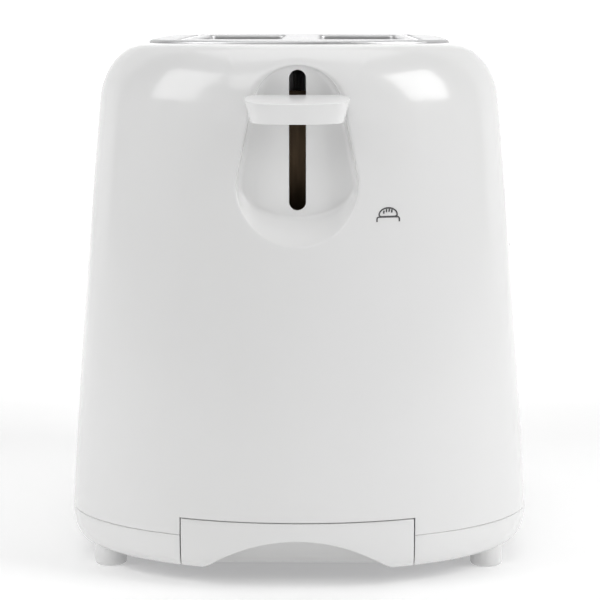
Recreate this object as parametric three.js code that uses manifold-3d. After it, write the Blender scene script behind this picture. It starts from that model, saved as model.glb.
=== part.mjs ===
// A two-slot pop-up toaster with a lift lever on one end and a bun rack in its top.
// Millimetres, +Z up. The origin is on the table at the centre of the object's box.
// The lever end faces -Y, the controls are on the -X side, the bun rack's slider is on the +X side.

import * as THREE from 'three';
import { mergeVertices } from 'three/addons/utils/BufferGeometryUtils.js';
import Module from 'manifold-3d';

const wasm = await Module();
wasm.setup();

// ---------------------------------------------------------------- driving dimensions

const BODY = { width: 175, length: 280, endDepth: 70, sideBulge: 3, wall: 2.5 };
const LEVEL = { baseBottom: 6.7, split: 19, cornerStart: 173.5, shellTop: 194.4, plateTop: 195.6 };
const TAPER = { linear: 0.0574, quadratic: 0.000107 };   // how the sides lean in above the split
const CORNER = { top: 15.5, base: 6 };                   // how far the rounded corners reach inwards
const GAP = 0.3;                                         // clearance between neighbours that touch

const SLOT = { inner: 7.5, width: 32.5, halfLength: 71, radius: 3 };   // bread slots, mirrored in X
const SLOT_CENTRE = SLOT.inner + SLOT.width / 2;

const SCOOP = { floorY: -122.5, lowZ: 145, lowR: 21.8, highZ: 171, highR: 16.5 };   // lever recess
const LEVER_SLOT = { width: 6, bottom: 135.5, top: 185.5 };
const LEVER = { tipY: -143, backY: -129.2, halfWidth: 18.5, lowHalfWidth: 16.3, armZ: 171.4, armHeight: 3 };

const CHASSIS = { y: 79, thickness: 1, halfWidth: 50.5, bottom: 26, top: 190, legBottom: 9.7 };
const CARRIAGE = { plateY: -90, thickness: 1.5, bottom: 80, barTop: 92, top: 177, halfWidth: 30 };
const ROD = { y: -86, radius: 2, bottom: 27, top: 189.5 };
const LIFTER = { bottom: 84, thickness: 2.5, tines: 13, pitch: 11, innerX: 13, outerX: 34.5 };

const TRAY = { halfWidth: 42, top: 25, backY: -118, panHalfWidth: 40, panRear: 95, panBottom: 10, panTop: 18 };
const FOOT = { x: 70.5, y: 94, radius: 6, height: 8.1 };
const FLOOR = { bottom: 8.4, top: 9.4, inset: 6.2 };       // the sheet steel base plate
const BOSS = { x: 74, y: 40, radius: 4.5 };
const PANEL = { faceX: -82.4, backX: -79, y0: -31, y1: 43, z0: 40, z1: 86, radius: 10 };
const DIAL = { y: 19, z: 63, radius: 18, faceX: -90 };
const BUTTON = { y: -15, radius: 5, pitch: 13.5, tipX: -84.3 };
const RACK = { x: 45, y: 83.1, wire: 2.2, frameZ: 151, sliderY: 48, sliderZ: 98, sliderX: 90 };
const GLAND = { z: 32, radius: 7 };

// ---------------------------------------------------------------- materials

const material = (color, roughness, metalness) =>
  new THREE.MeshStandardMaterial({ color, roughness, metalness });

const whitePlastic = () => material(0xf2f2f0, 0.2, 0);
const darkPlastic = () => material(0x2b2b2d, 0.45, 0);
const steel = () => material(0xb9bbbd, 0.3, 1);
const polishedSteel = () => material(0xd4d6d8, 0.12, 1);
const mica = () => material(0xb9a888, 0.7, 0);
const circuitBoard = () => material(0x2e5b3a, 0.6, 0);
const copper = () => material(0xa8623a, 0.4, 1);

// ---------------------------------------------------------------- solids

// A closed geometry as a solid that can be joined and cut.
function solid(geometry) {
  geometry.deleteAttribute('normal');
  geometry.deleteAttribute('uv');
  const merged = mergeVertices(geometry);
  const vertProperties = new Float32Array(merged.attributes.position.array);
  const triVerts = new Uint32Array(merged.index.array);
  return new wasm.Manifold(new wasm.Mesh({ numProp: 3, vertProperties, triVerts }));
}

function geometryOf(body) {
  const mesh = body.getMesh();
  const geometry = new THREE.BufferGeometry();
  geometry.setAttribute('position', new THREE.BufferAttribute(mesh.vertProperties, 3));
  geometry.setIndex(new THREE.BufferAttribute(mesh.triVerts, 1));
  geometry.computeVertexNormals();
  return geometry;
}

function piece(name, body, look) {
  const geometry = body.isBufferGeometry ? body : geometryOf(body);
  const mesh = new THREE.Mesh(geometry, look);
  mesh.name = name;
  return mesh;
}

function boxGeometry([x0, x1], [y0, y1], [z0, z1]) {
  const geometry = new THREE.BoxGeometry(x1 - x0, y1 - y0, z1 - z0);
  geometry.translate((x0 + x1) / 2, (y0 + y1) / 2, (z0 + z1) / 2);
  return geometry;
}

const box = (xs, ys, zs) => solid(boxGeometry(xs, ys, zs));

// Where an outline's two directions and its thickness point, for an extrusion along each axis.
const BASIS = {
  x: [[0, 1, 0], [0, 0, 1], [1, 0, 0]],
  y: [[1, 0, 0], [0, 0, 1], [0, -1, 0]],
  z: [[1, 0, 0], [0, 1, 0], [0, 0, 1]],
};

// An outline drawn in (y, z), (x, z) or (x, y) and given thickness along x, y or z.
function extrude(axis, shape, from, to, curveSegments = 6) {
  const geometry = new THREE.ExtrudeGeometry(shape, { depth: to - from, bevelEnabled: false, curveSegments });
  const [u, v, w] = BASIS[axis].map((direction) => new THREE.Vector3(...direction));
  geometry.applyMatrix4(new THREE.Matrix4().makeBasis(u, v, w));
  const start = axis === 'y' ? to : from;
  geometry.translate(axis === 'x' ? start : 0, axis === 'y' ? start : 0, axis === 'z' ? start : 0);
  return geometry;
}

const prism = (axis, shape, from, to, curveSegments) => solid(extrude(axis, shape, from, to, curveSegments));

// A profile of (radius, height) points turned round an axis that runs along +Z, +Y or -X.
function turned(axis, profile, segments = 20) {
  const points = profile.map(([radius, height]) => new THREE.Vector2(radius, height));
  const geometry = new THREE.LatheGeometry(points, segments);
  if (axis === 'z') geometry.rotateX(Math.PI / 2);
  if (axis === '-x') geometry.rotateZ(Math.PI / 2);
  return geometry;
}

function polygon(points) {
  return new THREE.Shape(points.map(([u, v]) => new THREE.Vector2(u, v)));
}

function circle(u, v, radius) {
  const shape = new THREE.Shape();
  shape.absarc(u, v, radius, 0, Math.PI * 2);
  return shape;
}

function roundedRect(u0, u1, v0, v1, radius) {
  const shape = new THREE.Shape();
  shape.absarc(u1 - radius, v0 + radius, radius, -Math.PI / 2, 0);
  shape.absarc(u1 - radius, v1 - radius, radius, 0, Math.PI / 2);
  shape.absarc(u0 + radius, v1 - radius, radius, Math.PI / 2, Math.PI);
  shape.absarc(u0 + radius, v0 + radius, radius, Math.PI, Math.PI * 1.5);
  return shape;
}

const join = (bodies) => bodies.reduce((whole, body) => whole.add(body));
const cut = (body, tools) => tools.reduce((rest, tool) => rest.subtract(tool), body);
const mirrored = (make) => [make(1), make(-1)];
const span = (side, a, b) => (side > 0 ? [a, b] : [-b, -a]);

// ---------------------------------------------------------------- the body's envelope

// Plan outline of the body, drawn in by inset all round: elliptical ends and slightly bowed sides.
function planOutline(inset) {
  const endSteps = 8;
  const sideSteps = 3;
  const halfLength = BODY.length / 2 - inset;
  const depth = BODY.endDepth - inset;
  const flatHalfWidth = BODY.width / 2 - inset - BODY.sideBulge;
  const bulgeAt = (s) => BODY.sideBulge * Math.sin((Math.PI / 2) * (s / halfLength));
  const quarter = [];
  for (let i = 0; i <= endSteps; i += 1) {
    const angle = (i / endSteps) * (Math.PI / 2);
    const s = depth * (1 - Math.cos(angle));
    quarter.push([flatHalfWidth * Math.sin(angle) + bulgeAt(s), halfLength - s]);
  }
  for (let i = 1; i <= sideSteps; i += 1) {
    const s = depth + (i / sideSteps) * (halfLength - depth);
    quarter.push([flatHalfWidth + bulgeAt(s), halfLength - s]);
  }
  const inner = quarter.slice(1, -1);
  const last = quarter[quarter.length - 1];
  return [
    quarter[0],
    ...inner.map(([x, y]) => [-x, y]),
    [-last[0], last[1]],
    ...inner.map(([x, y]) => [-x, -y]).reverse(),
    [0, -quarter[0][1]],
    ...inner.map(([x, y]) => [x, -y]),
    last,
    ...[...inner].reverse(),
  ];
}

// A solid made of stacked plan outlines, each given as [inset, z]. It is capped at both ends,
// or closed on itself when the profile runs round a wall.
function sweep(profile, closed = false) {
  const rings = profile.map(([inset, z]) => planOutline(inset).map(([x, y]) => [x, y, z]));
  const count = rings[0].length;
  const vertices = rings.flat();
  const index = [];
  const at = (ring, i) => (ring % rings.length) * count + (i % count);
  for (let ring = 0; ring < rings.length - (closed ? 0 : 1); ring += 1) {
    for (let i = 0; i < count; i += 1) {
      index.push(at(ring, i), at(ring, i + 1), at(ring + 1, i + 1));
      index.push(at(ring, i), at(ring + 1, i + 1), at(ring + 1, i));
    }
  }
  if (!closed) {
    const bottom = vertices.push([0, 0, profile[0][1]]) - 1;
    const top = vertices.push([0, 0, profile[profile.length - 1][1]]) - 1;
    for (let i = 0; i < count; i += 1) {
      index.push(bottom, at(0, i + 1), at(0, i));
      index.push(top, at(rings.length - 1, i), at(rings.length - 1, i + 1));
    }
  }
  const geometry = new THREE.BufferGeometry();
  geometry.setAttribute('position', new THREE.Float32BufferAttribute(vertices.flat(), 3));
  geometry.setIndex(index);
  return geometry;
}

// How far an elliptical corner of the given height and width has come in at height t above its start.
const ellipseIn = (width, height, t) => width * (1 - Math.sqrt(Math.max(0, 1 - (t / height) ** 2)));

function sideInset(z) {
  const rise = Math.max(0, z - LEVEL.split);
  return TAPER.linear * rise + TAPER.quadratic * rise ** 2;
}

function outerInset(z) {
  if (z < LEVEL.split) return ellipseIn(CORNER.base, LEVEL.split - LEVEL.baseBottom, LEVEL.split - z);
  if (z < LEVEL.cornerStart) return sideInset(z);
  const height = LEVEL.shellTop - LEVEL.cornerStart;
  return sideInset(z) + ellipseIn(CORNER.top, height, z - LEVEL.cornerStart);
}

const INNER_TOP = 191.4;   // the underside of the shell's top

function innerInset(z) {
  const height = INNER_TOP - LEVEL.cornerStart;
  const corner = z > LEVEL.cornerStart ? ellipseIn(CORNER.top, height, z - LEVEL.cornerStart) : 0;
  return sideInset(z) + BODY.wall + corner;
}

// Heights from one level to another, closer together towards the end, where a corner turns in.
function cornerLevels(from, to, steps) {
  return Array.from({ length: steps }, (_, i) => from + (to - from) * Math.sin(((i + 1) / steps) * (Math.PI / 2)));
}

function evenLevels(from, to, steps) {
  return Array.from({ length: steps + 1 }, (_, i) => from + ((to - from) * i) / steps);
}

function outerLevels() {
  const base = cornerLevels(LEVEL.split, LEVEL.baseBottom, 4).reverse();
  const sides = evenLevels(LEVEL.split, LEVEL.cornerStart, 5);
  return [...base, ...sides, ...cornerLevels(LEVEL.cornerStart, LEVEL.shellTop, 6)];
}

// The whole outer form as one solid, drawn in by extra all round.
function envelope(extra = 0) {
  return solid(sweep(outerLevels().map((z) => [outerInset(z) + extra, z])));
}

// ---------------------------------------------------------------- shell, base and top plate

// The egg-shaped outline of the lever recess: a large round below a smaller one, joined by tangents.
function eggShape(lowZ, lowR, highZ, highR) {
  const tilt = Math.asin((lowR - highR) / (highZ - lowZ));
  const shape = new THREE.Shape();
  shape.absarc(0, highZ, highR, tilt, Math.PI - tilt);
  shape.absarc(0, lowZ, lowR, Math.PI - tilt, Math.PI * 2 + tilt);
  return shape;
}

// The recess as a solid: full size in front of the face, with a floor whose lower end ramps up.
function scoop(offset) {
  const arcSteps = 12;
  const front = eggShape(SCOOP.lowZ, SCOOP.lowR + offset, SCOOP.highZ, SCOOP.highR + offset);
  const floor = eggShape(SCOOP.lowZ + 8, SCOOP.lowR - 3.3 + offset, SCOOP.highZ, SCOOP.highR - 0.8 + offset);
  const loops = [[front, -140], [front, -134], [floor, SCOOP.floorY + offset]].map(([shape, y]) =>
    shape.getPoints(arcSteps).slice(0, -1).map((point) => [point.x, y, point.y]));
  const count = loops[0].length;
  const vertices = loops.flat();
  const index = [];
  for (let loop = 0; loop < loops.length - 1; loop += 1) {
    for (let i = 0; i < count; i += 1) {
      const j = (i + 1) % count;
      const near = loop * count;
      index.push(near + i, near + j, near + count + j, near + i, near + count + j, near + count + i);
    }
  }
  const lastLoop = (loops.length - 1) * count;
  for (let i = 1; i < count - 1; i += 1) {
    index.push(0, i + 1, i);
    index.push(lastLoop, lastLoop + i, lastLoop + i + 1);
  }
  const geometry = new THREE.BufferGeometry();
  geometry.setAttribute('position', new THREE.Float32BufferAttribute(vertices.flat(), 3));
  geometry.setIndex(index.reverse());
  return solid(geometry);
}

const corners = [[1, 1], [-1, 1], [1, -1], [-1, -1]];

function shellBosses(outside) {
  return corners.map(([sx, sy]) => {
    const tube = prism('z', circle(sx * BOSS.x, sy * BOSS.y, BOSS.radius), FLOOR.top + GAP, 36, 4);
    const rib = box(span(sx, BOSS.x, BODY.width / 2), [sy * BOSS.y - 1.5, sy * BOSS.y + 1.5], [21.9, 36]);
    return tube.add(rib).intersect(outside);
  });
}

const panelOpening = (inset) =>
  roundedRect(PANEL.y0 + inset, PANEL.y1 - inset, PANEL.z0 + inset, PANEL.z1 - inset, PANEL.radius - inset);

function outerShell() {
  const bottom = LEVEL.split + 0.1;
  const outer = [bottom, ...outerLevels().filter((z) => z > bottom)].map((z) => [outerInset(z), z]);
  const seat = [[29.5, 194.2], [29.5, 193.1], [33, 193.1], [33, INNER_TOP]];
  const innerLevels = [...cornerLevels(LEVEL.cornerStart, INNER_TOP, 4).reverse(),
    ...evenLevels(LEVEL.cornerStart, bottom, 4)];
  const inner = innerLevels.map((z) => [innerInset(z), z]);
  const wall = solid(sweep([...outer, ...seat, ...inner], true));
  const outside = envelope();
  const halfSlot = LEVER_SLOT.width / 2;
  const leverSlot = roundedRect(-halfSlot, halfSlot, LEVER_SLOT.bottom, LEVER_SLOT.top, halfSlot);
  const rackSlot = roundedRect(RACK.sliderY - 3, RACK.sliderY + 3, 98, 140, 3);
  const openings = [
    scoop(0),
    prism('y', leverSlot, -130, -110),
    prism('x', panelOpening(0), -95, -72),
    prism('x', rackSlot, 70, 95),
    prism('y', circle(0, GLAND.z, GLAND.radius), 125, 145, 12),
    box([-TRAY.halfWidth - GAP, TRAY.halfWidth + GAP], [-145, -110], [10, TRAY.top + GAP]),
    ...corners.map(([sx, sy]) => prism('z', circle(sx * BOSS.x, sy * BOSS.y, 1.7), 5, 34, 3)),
  ];
  const body = join([wall, scoop(BODY.wall).intersect(outside), ...shellBosses(outside)]);
  return piece('outer_shell', cut(body, openings), whitePlastic());
}

// The white rim under the shell. Its tongue stands inside the shell, and its flange carries the base plate.
function baseRim() {
  const outer = cornerLevels(LEVEL.split, LEVEL.baseBottom, 4).reverse().map((z) => [outerInset(z), z]);
  const tongue = [[0, 18.85], [2.9, 18.85], [2.9, 21.5], [4.4, 21.5]];
  const flange = [[4.4, 11.5], [5.6, 8.1], [9.5, 8.1], [9.5, LEVEL.baseBottom]];
  const rim = solid(sweep([...outer, ...tongue, ...flange], true));
  const openings = [
    trayNotch(),
    ...corners.map(([sx, sy]) => prism('z', circle(sx * FOOT.x, sy * FOOT.y, FOOT.radius + GAP), 0, 8.4, 12)),
  ];
  return piece('base_rim', cut(rim, openings), whitePlastic());
}

const trayNotch = () => box([-TRAY.halfWidth - GAP, TRAY.halfWidth + GAP], [-145, TRAY.backY + GAP], [0, 30]);

function basePlate() {
  const sheet = solid(sweep([[FLOOR.inset, FLOOR.bottom], [FLOOR.inset, FLOOR.top]]));
  const holes = corners.map(([sx, sy]) => prism('z', circle(sx * BOSS.x, sy * BOSS.y, 1.8), 0, 30, 3));
  return piece('base_plate', cut(sheet, [trayNotch(), ...holes]), steel());
}

function topPlate() {
  const skin = [[30.6, 194.6], [30.6, 193.4], [29.8, 193.4], [29.8, 194.8], [30.2, 195.3], [31, LEVEL.plateTop]];
  const slotShape = (side, extra) => {
    const [x0, x1] = span(side, SLOT.inner, SLOT.inner + SLOT.width);
    const y = SLOT.halfLength + extra;
    return roundedRect(x0 - extra, x1 + extra, -y, y, SLOT.radius + extra);
  };
  const flanges = mirrored((side) => prism('z', slotShape(side, 1), 188, 195.2, 3));
  const slots = mirrored((side) => prism('z', slotShape(side, 0), 180, 200, 3));
  const slits = mirrored((side) => box([side * RACK.x - 1.6, side * RACK.x + 1.6], [-84, 84], [190, 200]));
  return piece('top_plate', cut(join([solid(sweep(skin)), ...flanges]), [...slots, ...slits]), polishedSteel());
}

function feet() {
  const profile = [[0, 0], [5.2, 0], [6, 0.8], [6, FOOT.height], [0, FOOT.height]];
  return corners.map(([sx, sy]) => {
    const name = `foot_${sy < 0 ? 'front' : 'rear'}_${sx < 0 ? 'left' : 'right'}`;
    const foot = piece(name, turned('z', profile), whitePlastic());
    foot.position.set(sx * FOOT.x, sy * FOOT.y, 0);
    return foot;
  });
}

function baseScrews() {
  const profile = [[0, 6.9], [3, 6.9], [3, 8.1], [1.4, 8.1], [1.4, 30], [0, 31]];
  return corners.map(([sx, sy]) => {
    const name = `base_screw_${sy < 0 ? 'front' : 'rear'}_${sx < 0 ? 'left' : 'right'}`;
    const screw = piece(name, turned('z', profile, 10), steel());
    screw.position.set(sx * BOSS.x, sy * BOSS.y, 0);
    return screw;
  });
}

// ---------------------------------------------------------------- crumb tray

// The finger cut-out in the tray's front: straight shoulders that rise into a shallow arch.
function archShape() {
  const shape = new THREE.Shape();
  shape.moveTo(-33.5, 0);
  shape.lineTo(33.5, 0);
  shape.lineTo(33.5, 7);
  shape.lineTo(17, 14.6);
  shape.quadraticCurveTo(8, 18.4, 0, 18.4);
  shape.quadraticCurveTo(-8, 18.4, -17, 14.6);
  shape.lineTo(-33.5, 7);
  shape.closePath();
  return shape;
}

function trayHandle() {
  const block = envelope().intersect(box([-TRAY.halfWidth, TRAY.halfWidth], [-141, TRAY.backY], [0, TRAY.top]));
  const pocket = envelope(3).intersect(box([-37.5, 37.5], [-141, -121.5], [0, 21.5]));
  const underBack = box([-37.5, 37.5], [-130, TRAY.backY + 1], [0, 9.5]);
  const arch = prism('y', archShape(), -145, -126);
  return piece('crumb_tray_handle', cut(block, [pocket, underBack, arch]), whitePlastic());
}

function trayPan() {
  const ys = [TRAY.backY + GAP, TRAY.panRear];
  const outside = box([-TRAY.panHalfWidth, TRAY.panHalfWidth], ys, [TRAY.panBottom, TRAY.panTop]);
  const hollow = box([1 - TRAY.panHalfWidth, TRAY.panHalfWidth - 1], [ys[0] + 1, ys[1] - 1], [TRAY.panBottom + 1, 30]);
  return piece('crumb_tray_pan', outside.subtract(hollow), steel());
}

// ---------------------------------------------------------------- lever, carriage and lifters

function leverKnob() {
  const side = polygon([[LEVER.backY, 168.4], [LEVER.backY, 177], [LEVER.tipY, 174], [-142.2, 167.6]]);
  const plan = new THREE.Shape();
  plan.moveTo(14, LEVER.backY);
  plan.lineTo(-14, LEVER.backY);
  plan.lineTo(-LEVER.halfWidth, -132);
  plan.lineTo(-LEVER.halfWidth, -138.6);
  plan.quadraticCurveTo(-LEVER.halfWidth, -140.2, -16.5, -140.9);
  plan.quadraticCurveTo(0, -145.1, 16.5, -140.9);
  plan.quadraticCurveTo(LEVER.halfWidth, -140.2, LEVER.halfWidth, -138.6);
  plan.lineTo(LEVER.halfWidth, -132);
  plan.closePath();
  const front = polygon([[-LEVER.lowHalfWidth, 160], [LEVER.lowHalfWidth, 160], [LEVER.lowHalfWidth, 167.6],
    [LEVER.halfWidth, 174], [LEVER.halfWidth, 180], [-LEVER.halfWidth, 180], [-LEVER.halfWidth, 174],
    [-LEVER.lowHalfWidth, 167.6]]);
  const head = prism('x', side, -LEVER.halfWidth, LEVER.halfWidth)
    .intersect(prism('z', plan, 160, 180))
    .intersect(prism('y', front, -150, -120));
  const neck = box([-6, 6], [LEVER.backY - 1, SCOOP.floorY - 0.9], [169.4, 176.2]);
  const pocket = box([-2.8, 2.8], [-136.3, -120], [LEVER.armZ - GAP, LEVER.armZ + LEVER.armHeight + GAP]);
  return piece('lever_knob', head.add(neck).subtract(pocket), whitePlastic());
}

function leverArm() {
  const arm = boxGeometry([-2.5, 2.5], [-136, CARRIAGE.plateY - CARRIAGE.thickness - GAP],
    [LEVER.armZ, LEVER.armZ + LEVER.armHeight]);
  return piece('lever_arm', arm, steel());
}

function carriageBracket() {
  const half = CARRIAGE.halfWidth;
  const outline = polygon([[-half, CARRIAGE.bottom], [half, CARRIAGE.bottom], [half, CARRIAGE.barTop],
    [7, CARRIAGE.barTop + 8], [7, CARRIAGE.top], [-7, CARRIAGE.top], [-7, CARRIAGE.barTop + 8],
    [-half, CARRIAGE.barTop]]);
  const front = CARRIAGE.plateY - CARRIAGE.thickness;
  const lugs = [[CARRIAGE.bottom, 84], [168, 172]].map((zs) => box([-5, 5], [front, -82.5], zs));
  const bore = prism('z', circle(0, ROD.y, ROD.radius + 0.4), 70, 180, 4);
  const body = join([prism('y', outline, front, CARRIAGE.plateY), ...lugs]);
  return piece('carriage_bracket', body.subtract(bore), steel());
}

// A comb seen from above: a spine along Y with a tine to each side at every pitch.
function lifterShape(side) {
  const spine = 1.25;
  const reach = [SLOT_CENTRE - LIFTER.innerX, LIFTER.outerX - SLOT_CENTRE];
  const halfTine = 1.1;
  const rows = Array.from({ length: LIFTER.tines }, (_, i) => (i - (LIFTER.tines - 1) / 2) * LIFTER.pitch);
  const edge = (sign, far) => rows.flatMap((y) => [[sign * spine, y - halfTine], [sign * far, y - halfTine],
    [sign * far, y + halfTine], [sign * spine, y + halfTine]]);
  const rearY = 81.5;
  const frontY = CARRIAGE.plateY + GAP;
  const right = [[spine, frontY], ...edge(1, reach[1]), [spine, rearY]];
  const left = [[-spine, frontY], ...edge(-1, reach[0]), [-spine, rearY]].reverse();
  const points = [...right, ...left].map(([x, y]) => [side * (x + SLOT_CENTRE), y]);
  return polygon(side > 0 ? points : points.reverse());
}

function breadLifters() {
  return mirrored((side) => {
    const comb = extrude('z', lifterShape(side), LIFTER.bottom, LIFTER.bottom + LIFTER.thickness);
    return piece(`bread_lifter_${side > 0 ? 'right' : 'left'}`, comb, steel());
  });
}

function guideRod() {
  const profile = [[0, ROD.bottom], [ROD.radius, ROD.bottom], [ROD.radius, ROD.top], [0, ROD.top]];
  const rod = piece('guide_rod', turned('z', profile, 12), polishedSteel());
  rod.position.y = ROD.y;
  return rod;
}

function rodBrackets() {
  const levels = { bottom: [30, 32], top: [186.5, 188.5] };
  return Object.entries(levels).map(([end, zs]) => {
    const plate = box([-8, 8], [-92, -CHASSIS.y - CHASSIS.thickness / 2 - GAP], zs);
    const bore = prism('z', circle(0, ROD.y, ROD.radius + GAP), 20, 200, 4);
    return piece(`rod_bracket_${end}`, plate.subtract(bore), steel());
  });
}

class Helix extends THREE.Curve {
  constructor(radius, bottom, top, turns) {
    super();
    Object.assign(this, { radius, bottom, top, turns });
  }

  getPoint(t, target = new THREE.Vector3()) {
    const angle = t * this.turns * Math.PI * 2;
    const z = this.bottom + t * (this.top - this.bottom);
    return target.set(Math.cos(angle) * this.radius, Math.sin(angle) * this.radius, z);
  }
}

function returnSpring() {
  const turns = 8;
  const wireRadius = 0.5;
  const extrudePath = new Helix(3.4, 33, CARRIAGE.bottom - 0.9, turns);
  const geometry = new THREE.ExtrudeGeometry(circle(0, 0, wireRadius), {
    steps: turns * 12, curveSegments: 3, bevelEnabled: false, extrudePath,
  });
  const spring = piece('return_spring', geometry, steel());
  spring.position.y = ROD.y;
  return spring;
}

// The electromagnet that holds the carriage down, and the iron plate on the carriage that it holds.
function latch() {
  const foot = box([-31, -15], [-97, -85], [25.3, 30]);
  const core = prism('z', circle(-23, -91, 2.6), 29, 43.4, 4);
  const coil = turned('z', [[3, 30.3], [5.6, 30.3], [5.6, 41], [3, 41], [3, 30.3]], 16);
  const coilPiece = piece('latch_magnet_coil', coil, copper());
  coilPiece.position.set(-23, -91, 0);
  return {
    fixed: [piece('latch_magnet_core', foot.add(core), steel()), coilPiece],
    moving: piece('latch_armature', boxGeometry([-29, -17], [-96, -86], [77, 79.7]), steel()),
  };
}

// ---------------------------------------------------------------- heating chamber

function chassisPlates() {
  const half = CHASSIS.halfWidth;
  return [-1, 1].map((end) => {
    const outline = polygon([[-half, CHASSIS.legBottom], [-43, CHASSIS.legBottom], [-43, CHASSIS.bottom],
      [43, CHASSIS.bottom], [43, CHASSIS.legBottom], [half, CHASSIS.legBottom], [half, CHASSIS.top],
      [-half, CHASSIS.top]]);
    for (const side of [1, -1]) {
      outline.holes.push(roundedRect(side * SLOT_CENTRE - 2, side * SLOT_CENTRE + 2, 46, 98, 2));
    }
    const middle = end * CHASSIS.y;
    const plate = extrude('y', outline, middle - CHASSIS.thickness / 2, middle + CHASSIS.thickness / 2, 2);
    return piece(`chassis_plate_${end < 0 ? 'front' : 'rear'}`, plate, steel());
  });
}

const chamberSpan = [-CHASSIS.y + CHASSIS.thickness / 2 + GAP, CHASSIS.y - CHASSIS.thickness / 2 - GAP];

function heatingElements() {
  const places = { left: -45.5, centre: 0, right: 45.5 };
  return Object.entries(places).map(([name, x]) =>
    piece(`heating_element_${name}`, boxGeometry([x - 0.5, x + 0.5], chamberSpan, [44, 170]), mica()));
}

// Outer reflectors with a flange bent outwards along the top and the bottom.
function reflectors() {
  return mirrored((side) => {
    const section = polygon([[0, 28], [2.8, 28], [2.8, 28.8], [0.8, 28.8], [0.8, 181.2], [2.8, 181.2],
      [2.8, 182], [0, 182]].map(([u, v]) => [side * (49.1 + u), v]));
    const sheet = extrude('y', section, ...chamberSpan);
    return piece(`reflector_${side > 0 ? 'right' : 'left'}`, sheet, polishedSteel());
  });
}

// A bread guide: a flat grille of upright wires between a bottom and a top rail.
function breadGuides() {
  const wires = 9;
  const rail = 2;
  const [y0, y1] = chamberSpan;
  const pitch = (y1 - y0 - rail) / wires;
  const places = { inner: 11, outer: 36.5 };
  return mirrored((side) => Object.entries(places).map(([row, distance]) => {
    const x = side * distance;
    const gaps = Array.from({ length: wires }, (_, i) => {
      const start = y0 + rail + i * pitch;
      return box([x - 1, x + 1], [start, start + pitch - rail], [48, 185.5]);
    });
    const grille = cut(box([x - 0.6, x + 0.6], chamberSpan, [46, 187.5]), gaps);
    return piece(`bread_guide_${side > 0 ? 'right' : 'left'}_${row}`, grille, steel());
  })).flat();
}

// ---------------------------------------------------------------- electrics and controls

// The mains board, on four posts that stand on the base plate.
function controlBoard() {
  const board = piece('control_board', boxGeometry([-52, 52], [-116, -82], [23.4, 25]), circuitBoard());
  const posts = mirrored((side) => [-112, -87].map((y) => {
    const name = `board_post_${y < -100 ? 'front' : 'rear'}_${side > 0 ? 'right' : 'left'}`;
    return piece(name, extrude('z', circle(side * 48, y, 3), FLOOR.top + GAP, 23.1, 4), darkPlastic());
  }));
  return [board, ...posts.flat()];
}

function powerSwitch() {
  const body = box([15, 31], [-97, -85], [25.3, 40]);
  const plunger = box([20, 26], [-93.5, -88], [39, 46.4]);
  return piece('power_switch', body.add(plunger), darkPlastic());
}

function terminalBlock() {
  const body = box([-14, 14], [104, 120], [9.7, 24]);
  const bores = [-8.5, 0, 8.5].map((x) => prism('y', circle(x, 17, 2.2), 100, 125, 3));
  return piece('terminal_block', cut(body, bores), darkPlastic());
}

function cordGland() {
  const profile = [[3.6, 133], [8.2, 133], [8.2, 135.3], [6.7, 135.3], [6.7, 140.1], [8.2, 140.1],
    [7.6, 143], [3.6, 143], [3.6, 133]];
  const gland = piece('cord_gland', turned('y', profile), darkPlastic());
  gland.position.z = GLAND.z;
  return gland;
}

const buttonHeights = [1, 0, -1].map((row) => DIAL.z + row * BUTTON.pitch);

function controlPanel() {
  const skin = envelope().intersect(prism('x', panelOpening(GAP), -95, PANEL.backX));
  const face = prism('x', panelOpening(2.5), -95, PANEL.faceX);
  const posts = [-23, 25].flatMap((y) => [47, 79].map((z) => prism('x', circle(y, z, 2.5), -80, -67.9, 3)));
  const holes = [
    prism('x', circle(DIAL.y, DIAL.z, 3.5), -90, -70, 4),
    ...buttonHeights.map((z) => prism('x', circle(BUTTON.y, z, BUTTON.radius + 0.4), -90, -70, 8)),
  ];
  return piece('control_panel', cut(join([skin.subtract(face), ...posts]), holes), whitePlastic());
}

function browningDial() {
  const profile = [[0, 3.6], [3.3, 3.6], [3.3, 0], [DIAL.radius, 0], [DIAL.radius, 1.6], [16, 2.2], [15.2, 6.4],
    [14.2, 7.2], [0, 7.2]];
  const dial = piece('browning_dial', turned('-x', profile, 32), whitePlastic());
  dial.position.set(DIAL.faceX + 7.2, DIAL.y, DIAL.z);
  const shaft = piece('dial_shaft', turned('-x', [[0, 0], [3, 0], [3, 16], [0, 16]], 12), steel());
  shaft.position.set(-70, DIAL.y, DIAL.z);
  return [dial, shaft];
}

function buttons() {
  const names = ['defrost_button', 'reheat_button', 'cancel_button'];
  const profile = [[0, 0], [6, 0], [6, 1.4], [BUTTON.radius, 1.4], [BUTTON.radius, 6.6], [4.4, 7.2], [0, 7.4]];
  return names.map((name, row) => {
    const button = piece(name, turned('-x', profile, 18), whitePlastic());
    button.position.set(BUTTON.tipX + 7.4, BUTTON.y, buttonHeights[row]);
    return button;
  });
}

function controlElectronics() {
  const board = boxGeometry([-67.6, -66], [-27, 29], [43.5, 82.5]);
  const shaftHole = prism('x', circle(DIAL.y, DIAL.z, 3.3), -80, -69.5, 4);
  const potentiometer = box([-77, -67.9], [DIAL.y - 8.5, DIAL.y + 8.5], [DIAL.z - 8.5, DIAL.z + 8.5]);
  const names = ['defrost_switch', 'reheat_switch', 'cancel_switch'];
  const switches = names.map((name, row) => {
    const z = buttonHeights[row];
    return piece(name, boxGeometry([-74.5, -67.9], [BUTTON.y - 3, BUTTON.y + 3], [z - 3, z + 3]), darkPlastic());
  });
  return [piece('button_board', board, circuitBoard()),
    piece('potentiometer', potentiometer.subtract(shaftHole), darkPlastic()), ...switches];
}

// ---------------------------------------------------------------- bun rack

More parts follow.
